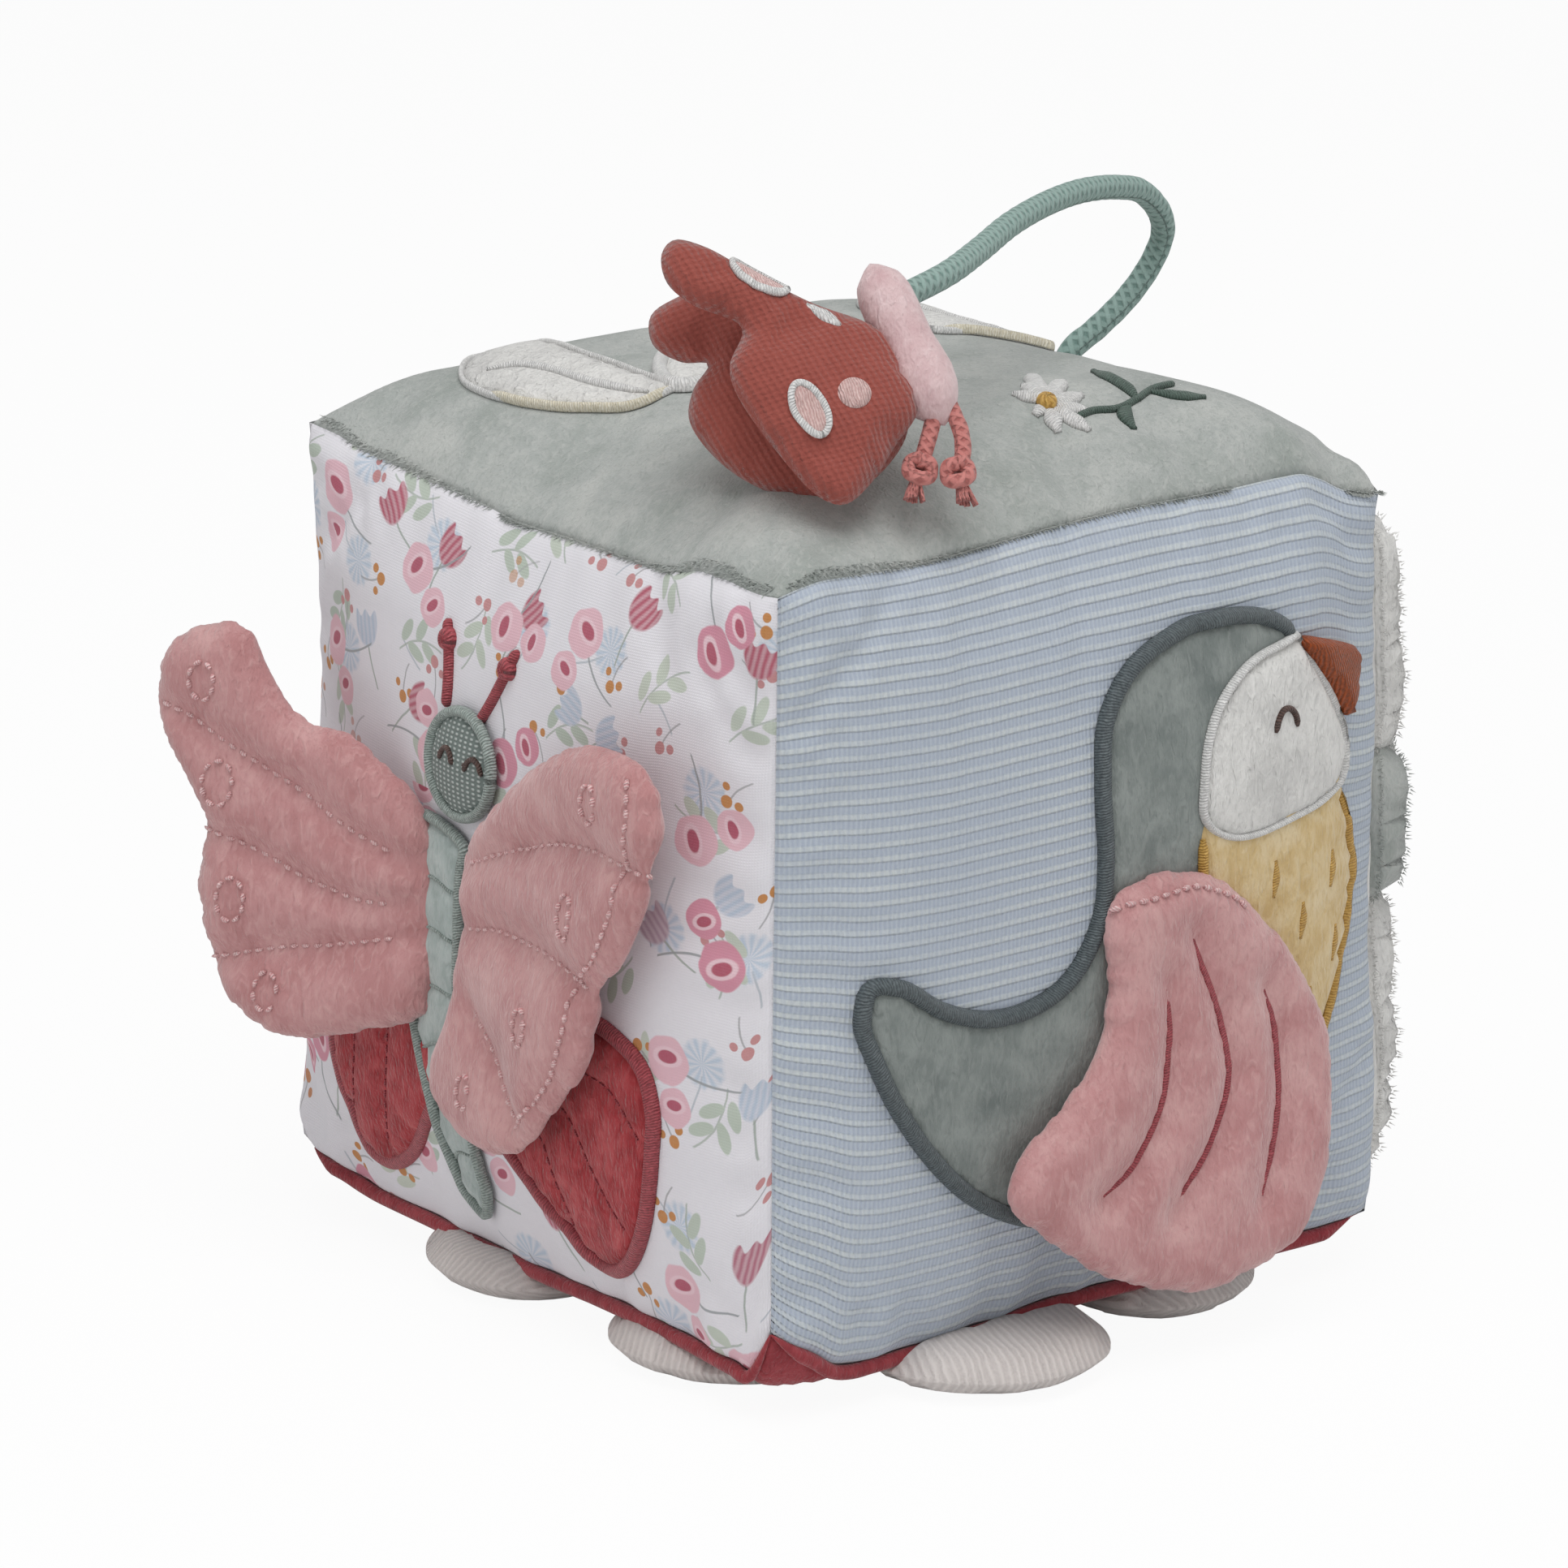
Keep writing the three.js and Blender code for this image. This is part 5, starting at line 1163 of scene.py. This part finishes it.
for wing in WINGS.values():
    wing["veins"] = [lined(vein, 1.0) for vein in wing["veins"]]
    outline = anticlockwise(spline(wing["outline"], 150, True))
    pillows.append(pillow(outline, wing["thick"], wing["veins"], WING_GRID))
filled = puff([(*part, *WING_PUFF) for part in pillows])
for (name, wing), (even, faces, _), points in zip(WINGS.items(), pillows, filled):
    origin, axes = wing["frame"]
    flat = even[:, :2]
    sewn = [lined(wing["rim"], 1.0)] if "rim" in wing else []
    for line in sewn:
        pull = SEWN_DEPTH * np.exp(-((distance(flat, line) / SEWN_WIDTH) ** 2))
        points[:, 2] -= np.sign(points[:, 2]) * pull
    points = points @ axes.T + origin
    stuffed = piece(f"{name}_stuffed", (points, faces, flat), "pink_plush", [
        f"{name}_{layer}" for layer in ("front_cloth", "back_cloth", "padding")], 0.6, body=name)
    smoother = stuffed.modifiers.new("smooth", "SUBSURF")
    smoother.levels = smoother.render_levels = 1
    on_wing = Ground(points, faces, origin, axes)
    if name == "bird_wing":
        piece("bird_wing_lines", [ridge(on_wing, line, 1.5, 0.7, lift=0.1, taper=9)
                                  for line in wing["veins"]], "red_satin", body=name)
    else:
        rings = [ellipse(ring[:2], ring[2], ring[3], 30, turn=-8) for ring in wing["rings"]]
        clear = [line[np.abs(line[:, 0]) > 6] for line in wing["veins"]]
        sewn = clear + sewn + [np.vstack([ring, ring[:1]]) for ring in rings]
    piece(f"{name}_stitches", [threads(on_wing, line, 1.8, 0.9, 0.9, 0.3) for line in sewn],
          "pink_thread", body=name)

# Bird
BIRD_OUTLINE = [
    (46, 50), (40, 54.5), (27, 57), (14, 55.5), (3, 50.5), (-3, 42), (-4, 30), (-3, 14), (-4, 3),
    (-10, -7), (-18, -11.5), (-30, -12.5), (-41, -9), (-50.5, -3), (-56.5, -2.5), (-58, -8),
    (-53.5, -21), (-45, -35), (-33, -47.5), (-22, -54), (-5, -58.5), (14, -57.5), (34, -51.5),
    (50, -40), (58, -27), (63, -10), (64.5, -1), (62.5, 8), (60, 17), (60.5, 27), (57, 34), (51, 43),
]
FACE = [(46, 50), (39, 49.5), (31, 47), (24.5, 41.5), (21, 34), (20, 26), (20, 20), (22.5, 16.5),
        (27, 14.3), (33, 13.6), (43, 15), (52, 17), (58, 20), (60.5, 25), (60, 29.5), (57, 34),
        (51, 43)]
BELLY = [(33, 15.8), (26.5, 16.6), (21.5, 18.6), (20, 15), (20.3, 6), (22, -4), (27, -20),
         (33, -34), (40, -45), (50, -40), (58, -27), (63, -10), (64.5, -1), (62.5, 8), (60, 17),
         (58.6, 21.5), (52, 19.2), (43, 17.2)]
BEAK = [(47, 49.5), (48, 50), (56, 47.8), (62.6, 45.3), (63.3, 44.7), (63.4, 44), (62.2, 39),
        (60.4, 32.6), (59.9, 32), (59.2, 32.3), (55.5, 37.6), (50.5, 44.2)]
BELLY_MARKS = [(55.5, 2.8), (47, -6), (57.5, -13), (50, -24), (39, 4), (38, -16)]
EYE = [(37.2, 33.6), (38, 36), (39.4, 37.7), (41.2, 37.7), (42.6, 36.2), (43.1, 33.9)]

part = applique(BIRD, spline(BIRD_OUTLINE, 300, True)[::-1], 1.4, dome=0.6)
piece("bird_plush", part, "grey_plush", ["bird_body"], 0.5)
piece("bird_rim", ridge(BIRD, spline(BIRD_OUTLINE[:24], 260), 3.4, 2.0, lift=0.6, taper=3),
      "grey_satin", ["bird_border"])
on_bird = over(BIRD, part)

part = applique(on_bird, spline(BELLY, 150, True)[::-1], 0.9, dome=0.7)
piece("bird_belly_plush", part, "yellow_plush", ["bird_belly"], 0.5)
on_belly = over(BIRD, part)
marks = [ridge(on_belly, lined([(x - 0.6, y - 4), (x, y), (x - 0.2, y + 3.5)], 0.5), 1.9, 0.35,
               lift=0.05, taper=3.5) for x, y in BELLY_MARKS]
marks += [ridge(on_bird, spline(BELLY[9:15], 70), 1.5, 1.4, lift=0.5, taper=3),
          ridge(on_bird, spline(BELLY[3:6], 24), 1.8, 1.5, lift=0.5, taper=2)]
piece("bird_belly_stitches", marks, "yellow_satin")

outline = spline(FACE, 120, True)[::-1]
part = applique(on_bird, outline, 1.0, dome=0.9, lift=0.3)
piece("bird_face_plush", part, "white_plush", ["bird_face"], 0.5)
piece("bird_face_rim", ridge(on_bird, outline, 1.5, 1.3, True, 0.5), "white_satin",
      ["bird_face_border"])
piece("bird_eye", ridge(over(BIRD, part), lined(EYE, 0.5), 1.2, 0.7, lift=0.2, taper=0.8),
      "dark_satin")
beak = applique(BIRD, spline(BEAK, 70, True)[::-1], 2.9, lift=1.3, dome=0.8, spacing=1.2, sunk=1.5)
piece("bird_beak_satin", beak, "rust_satin", ["bird_beak"])

# White motif on the top: each wing's outline and its sewn line
MOTIF_WINGS = {
    "left": ([(-36.5, 7.5), (-42.5, 8), (-48.5, 13.5), (-53, 21), (-56, 30), (-58, 40.5), (-57, 50),
              (-50, 58), (-41, 61), (-35, 56), (-36.5, 46.5), (-38, 36), (-37.5, 25.5), (-37, 15),
              (-34.5, 10)],
             [(-53.5, 47), (-49.5, 41.5), (-47.5, 33.5), (-46.5, 24.5), (-44.5, 16), (-41.5, 10)]),
    "right": ([(28, 8), (34, 2.5), (38.5, -4.5), (43.5, -9), (46.5, -4), (46.5, 14), (45.5, 32.5),
               (39, 41), (31, 36), (27, 22)],
              [(41, -2), (39, 10), (37, 24), (36, 34)]),
}
for side, (corners, quilting) in MOTIF_WINGS.items():
    outline = anticlockwise(spline(corners, 110, True))
    quilting = lined(quilting)
    part = applique(TOP, outline, 1.5, dome=0.8, lines=[quilting], groove=0.7)
    name = f"motif_{side}_wing"
    piece(f"{name}_plush", part, "white_plush", [f"motif_wing_{side}"], 0.5)
    piece(f"{name}_rim", ridge(TOP, outline, 1.1, 1.0, True, 0.6), "white_satin")
    piece(f"{name}_edge", ridge(TOP, lined(corners[:6]), 1.5, 1.4, lift=0.7, taper=4), "cream_satin")
    piece(f"{name}_stitches", ridge(over(TOP, part), quilting, 1.4, 0.7, lift=0.2, taper=5),
          "white_satin")
trunk = ellipse((-26.5, 15.5), 27, 13, 80, turn=48)
piece("motif_trunk_plush", applique(TOP, trunk, 1.8, dome=1.0), "white_plush", ["motif_body"], 0.5)
piece("motif_trunk_rim", ridge(TOP, trunk, 3.2, 2.2, True, 0.7), "white_satin")

# Daisy on the top
DAISY = np.array([9.5, -49.0])
PETAL_TIPS = [(18.3, -33.5), (12.5, -38.5), (20.5, -41), (6.5, -42.5), (19.5, -48), (17, -53.5),
              (12.8, -58.5), (5.5, -50.5), (7.0, -56)]
SPRIG = [
    ([(13, -54.2), (17.5, -53.5), (22, -54), (29, -53), (34.5, -51), (41, -50)], 1.3, 0.8),
    ([(31, -37.5), (30, -44.5), (30, -49), (29, -53.5)], 3.0, 5.0),
    ([(26.5, -53.5), (23.5, -56), (22.5, -60)], 3.2, 3.0),
    ([(33.5, -51.5), (38, -54.5), (43.5, -56.5)], 2.6, 4.0),
]
petals = []
for tip in PETAL_TIPS:
    reach = np.array(tip) - DAISY
    petals.append(ridge(TOP, lined([DAISY + reach * 0.15, DAISY + reach * 0.98], 0.6), 3.6, 1.1,
                        lift=0.4, taper=2.6))
piece("daisy_petals", petals, "white_satin", ["daisy"])
middle = spline(ellipse(DAISY, 1.4, 1.4, 12), 20, True)
piece("daisy_middle", ridge(TOP, middle, 2.6, 1.7, True, 0.9), "yellow_satin")
piece("daisy_sprig", [ridge(TOP, lined(route, 0.6), wide, 0.8, lift=0.4, taper=taper)
                      for route, wide, taper in SPRIG], "green_satin")

# Stuffed relief on the white side
BUN = [(0.5, -0.08), (0.46, 0.3), (0.3, 0.48), (-0.04, 0.5), (-0.43, 0.49), (-0.5, 0.38),
       (-0.5, -0.38), (-0.45, -0.49), (0.04, -0.5), (0.38, -0.45)]
BAND = [(0.5, 0.1), (0.36, 0.5), (-0.43, 0.5), (-0.5, 0.36), (-0.5, -0.36), (-0.43, -0.5),
        (0.3, -0.5), (0.48, -0.34)]
for name, shares, size, middle, pad, material in (
    ("relief_body", BUN, (86, 64), (-28.5, -42), 6.8, "white_plush"),
    ("relief_head", BUN, (48, 46), (-48, 41), 6.6, "white_plush"),
    ("relief_ear", BUN, (13, 30), (-14.5, 42), 6, "white_plush"),
    ("relief_scarf", BAND, (54, 32), (-46, 3.4), 8.4, "sage_plush"),
):
    corners = np.array(shares) * size + middle
    rough = spline(corners, 200, True)
    around = length_along(np.vstack([rough, rough[:1]]))[-1]
    outline = spline(corners, max(24, int(around / 1.5)), True)
    part = applique(PLUSH, outline, pad, edge=4, power=3)
    piece(f"{name}_stuffed", part, material, [name], 0.7)
    upper = len(part[0]) // 2
    spread = [(0.8 * math.cos(turn), 0.8 * math.sin(turn), 0) for turn in range(6)]
    roots = np.vstack([part[0][:upper] + PLUSH.axes @ np.array(place) for place in spread])
    hairs(f"{name}_pile", roots, np.tile(normals_of(*part[:2])[:upper], (6, 1)), 1.3, 0.2, material)

# Stuffed flower under the block
PETAL = [(0, 0), (0.02, 0.11), (0.27, 0.27), (0.47, 0.39), (0.68, 0.5), (0.86, 0.43),
         (0.96, 0.24), (1, 0)]
PETAL_LENGTH, PETAL_WIDTH, PETAL_THICK, PETAL_START = 70, 46, 9.2, 20
PETAL_HEIGHT, FLOWER_AT = 4.7, np.array([0, -4])
PETAL_TURNS, PETAL_GROWTH = {0: -1, 1: 5}, {0: 0.96, 1: 1.03, 2: 1.09, 3: 0.97}
halves = np.array(PETAL + [(x, -y) for x, y in PETAL[-2:0:-1]])
outline = spline(halves * (PETAL_LENGTH, PETAL_WIDTH), 90, True)[::-1]
flat, faces = triangulate(outline, 3.2)
swell = rounded(distance(flat, outline, True), 9)
thick = PETAL_THICK * swell
ribs = np.sin(flat[:, 1] * 2 * math.pi / 1.9) * 0.12 * swell
for number in range(8):
    angle = math.radians(164 + 45 * number + PETAL_TURNS.get(number, 0))
    c, s = math.cos(angle), math.sin(angle)
    grown = flat * PETAL_GROWTH.get(number, 1.0) + (PETAL_START, 0)
    places = grown @ np.array([[c, s], [-s, c]]) + FLOWER_AT
    top = thick * 0.5 + PETAL_HEIGHT
    for i, (x, y) in enumerate(places):
        hit = GROUND["bottom"].tree.ray_cast(Vector((x, y, -5)), Vector((0, 0, 1)))[0]
        if hit is not None:
            top[i] = min(top[i], hit.z - 0.4)
    low = np.maximum(np.minimum(PETAL_HEIGHT - thick * 0.5, top - 0.6), 0)
    part = closed_pad(flat[:, ::-1], faces, np.column_stack([places, top + ribs]),
                      np.column_stack([places, low]))
    piece(f"flower_petal_{number + 1}", part, "ribbed_cotton", [f"petal_{number + 1}"], 0.6)
button = ellipse(FLOWER_AT, 34, 34, 48)
flat, faces = triangulate(button, 3.0)
swell = rounded(distance(flat, button, True), 6)
part = closed_pad(flat, faces, np.column_stack([flat, 4 + 3.6 * swell]),
                  np.column_stack([flat, 4 - 4 * swell]))
piece("flower_button", part, "ribbed_cotton", ["flower_centre"], 0.6)

# Hanging toy
TOY_FRONT = [
    (0.4, 0.2), (0.12, 0.29), (-0.12, 0.39), (-0.33, 0.485), (-0.45, 0.5), (-0.5, 0.44),
    (-0.48, 0.33), (-0.38, 0.25), (-0.17, 0.17), (-0.22, 0.02), (-0.2, -0.08), (-0.02, -0.32),
    (0.15, -0.48), (0.25, -0.5), (0.36, -0.41), (0.46, -0.26), (0.56, -0.1), (0.5, 0.06)]
TOY_BACK = [
    (0.44, 0.22), (0.1, 0.34), (-0.2, 0.42), (-0.37, 0.37), (-0.48, 0.3), (-0.47, 0.19),
    (-0.35, 0.12), (-0.24, 0.11), (-0.3, 0.02), (-0.32, -0.1), (-0.2, -0.26), (0, -0.38),
    (0.22, -0.42), (0.42, -0.36), (0.58, -0.16), (0.52, 0.04)]
SPOTS = [((-30.0, 9.8), 12.5, 6.4, -26, "pink_satin", True),
         ((-18.0, 2.8), 7.6, 2.4, -38, "white_satin", False),
         ((-21.2, -16.4), 11.5, 6.4, -60, "pink_satin", True),
         ((-12.8, -12.9), 6.4, 6.0, 0, "pink_satin", False)]
BODY_TILT, BODY_LENGTH, BODY_RADIUS = math.radians(24.5), 34, 6.1
WING_OPEN, WING_OFF, TOY_WING, TOY_PUFF = 12, 1.6, (46, 49.5), (3.0, 0.04, 2.0)
body_along = np.array([math.sin(BODY_TILT), -math.cos(BODY_TILT), 0])
body_start = np.array([-1.2, -0.4, 0]) - body_along * BODY_LENGTH / 2
toy_wings = (("toy_front_wings", TOY_FRONT, (-25.4, -8.4), 1, "toy_front_wing"),
             ("toy_back_wings", TOY_BACK, (-28, -8.4), -1, "toy"))
pillows = [pillow(spline(np.array(shares) * TOY_WING + middle, 130, True), 6.6, (), 2.0, 6.0)
           for _, shares, middle, _, _ in toy_wings]
filled = puff([(*part, *TOY_PUFF) for part in pillows])
for (name, _, _, hand, body), (even, faces, _), points in zip(toy_wings, pillows, filled):
    swing = np.array(Matrix.Rotation(math.radians(-hand * WING_OPEN), 3, Vector(body_along)))
    points = (points + (0, 0, hand * WING_OFF) - body_start) @ swing.T + body_start
    points = in_toy(points)
    piece(f"{name}_stuffed", (points, faces, even[:, :2]), "rust_knit", [name], 0.7, body=body)
    if hand < 0:
        continue
    axes = TOY_AXES @ swing
    knit = Ground(points, faces, in_toy(body_start + (0, 0, WING_OFF)) - axes @ body_start, axes)
    for number, (at, width, height, turn, material, rimmed) in enumerate(SPOTS, 1):
        spot = applique(knit, ellipse(at, width, height, 48, turn), 0.6, spacing=1.1, edge=0.8, sunk=0.2)
        piece(f"toy_spot_{number}", spot, material, body=body)
        if rimmed:
            rim = ridge(knit, ellipse(at, width - 1.0, height - 1.0, 40, turn), 1.3, 0.5, True, 0.5)
            piece(f"toy_spot_rim_{number}", rim, "white_satin", body=body)
shares = np.linspace(0, 1, 40)
radii = np.array([0.35, 0.72, 0.86, 0.88, 0.86, 0.86, 0.94, 1, 0.94, 0.72, 0.35]) * BODY_RADIUS
radius = np.interp(shares, np.linspace(0, 1, 11), radii)
round_end = rounded(shares * BODY_LENGTH, 5)
line = np.linspace(body_start, body_start + body_along * BODY_LENGTH, 40)
part = tube(in_toy(line), np.maximum(radius * round_end * round_end[::-1], 0.05), 28)
piece("toy_body_stuffed", part, "toy_plush", ["toy_body"], 0.8, body="toy")

# Floor, background and light
FLOOR_HALF, FLOOR_WHITE, FLOOR_GLOW, SKY_LIGHT = 4, 0.9, 0.94, 0.34
FLOOR_GAP, LAMP_SIZE, LIT_PLACE = 0.0005, 1.2, Vector((0, 0, 0.09))
corners = [(x * FLOOR_HALF, y * FLOOR_HALF, 0) for x, y in ((-1, -1), (1, -1), (1, 1), (-1, 1))]
floor_mesh = bpy.data.meshes.new("floor")
floor_mesh.from_pydata(corners, [], [(0, 1, 2, 3)])
floor = bpy.data.objects.new("floor", floor_mesh)
floor.location.z = -FLOOR_GAP
scene.collection.objects.link(floor)


def background_rays(tree, for_light, for_background):
    """A share for the light on the object, and another for rays that see the background."""
    rays = tree.nodes.new("ShaderNodeLightPath").outputs
    value = rays["Is Camera Ray"]
    for name in ("Is Glossy Ray", "Is Transmission Ray"):
        node = tree.nodes.new("ShaderNodeMath")
        node.operation = "MAXIMUM"
        tree.links.new(value, node.inputs[0])
        tree.links.new(rays[name], node.inputs[1])
        value = node.outputs[0]
    level = tree.nodes.new("ShaderNodeMapRange")
    tree.links.new(value, level.inputs["Value"])
    level.inputs["To Min"].default_value = for_light
    level.inputs["To Max"].default_value = for_background
    return level.outputs[0]


floor_mat = bpy.data.materials.new("floor_white")
floor_mat.use_nodes = True
tree = floor_mat.node_tree
surface = tree.nodes["Principled BSDF"]
surface.inputs["Base Color"].default_value = (FLOOR_WHITE, FLOOR_WHITE, FLOOR_WHITE, 1)
surface.inputs["Roughness"].default_value = 0.9
surface.inputs["Specular IOR Level"].default_value = 0.0
glow = tree.nodes.new("ShaderNodeEmission")
blend = tree.nodes.new("ShaderNodeMixShader")
for source, socket in (
    (background_rays(tree, 0.0, FLOOR_GLOW), blend.inputs[0]),
    (surface.outputs[0], blend.inputs[1]),
    (glow.outputs[0], blend.inputs[2]),
    (blend.outputs[0], tree.nodes["Material Output"].inputs["Surface"]),
):
    tree.links.new(source, socket)
floor_mesh.materials.append(floor_mat)

world = bpy.data.worlds.new("world")
scene.world = world
world.use_nodes = True
sky = world.node_tree.nodes["Background"]
sky.inputs["Color"].default_value = (1, 1, 1, 1)
world.node_tree.links.new(background_rays(world.node_tree, SKY_LIGHT, 1.0), sky.inputs["Strength"])

for name, place, power in (
    ("key", (-0.35, -0.45, 1.7), 18),
    ("left_fill", (-1.6, -0.2, 0.7), 2.8),
    ("right_fill", (1.0, -1.4, 0.6), 2.6),
):
    light = bpy.data.lights.new(name, "AREA")
    light.size, light.energy = LAMP_SIZE, power
    lamp = bpy.data.objects.new(name, light)
    lamp.location = place
    lamp.rotation_euler = (Vector(place) - LIT_PLACE).to_track_quat("Z", "Y").to_euler()
    scene.collection.objects.link(lamp)
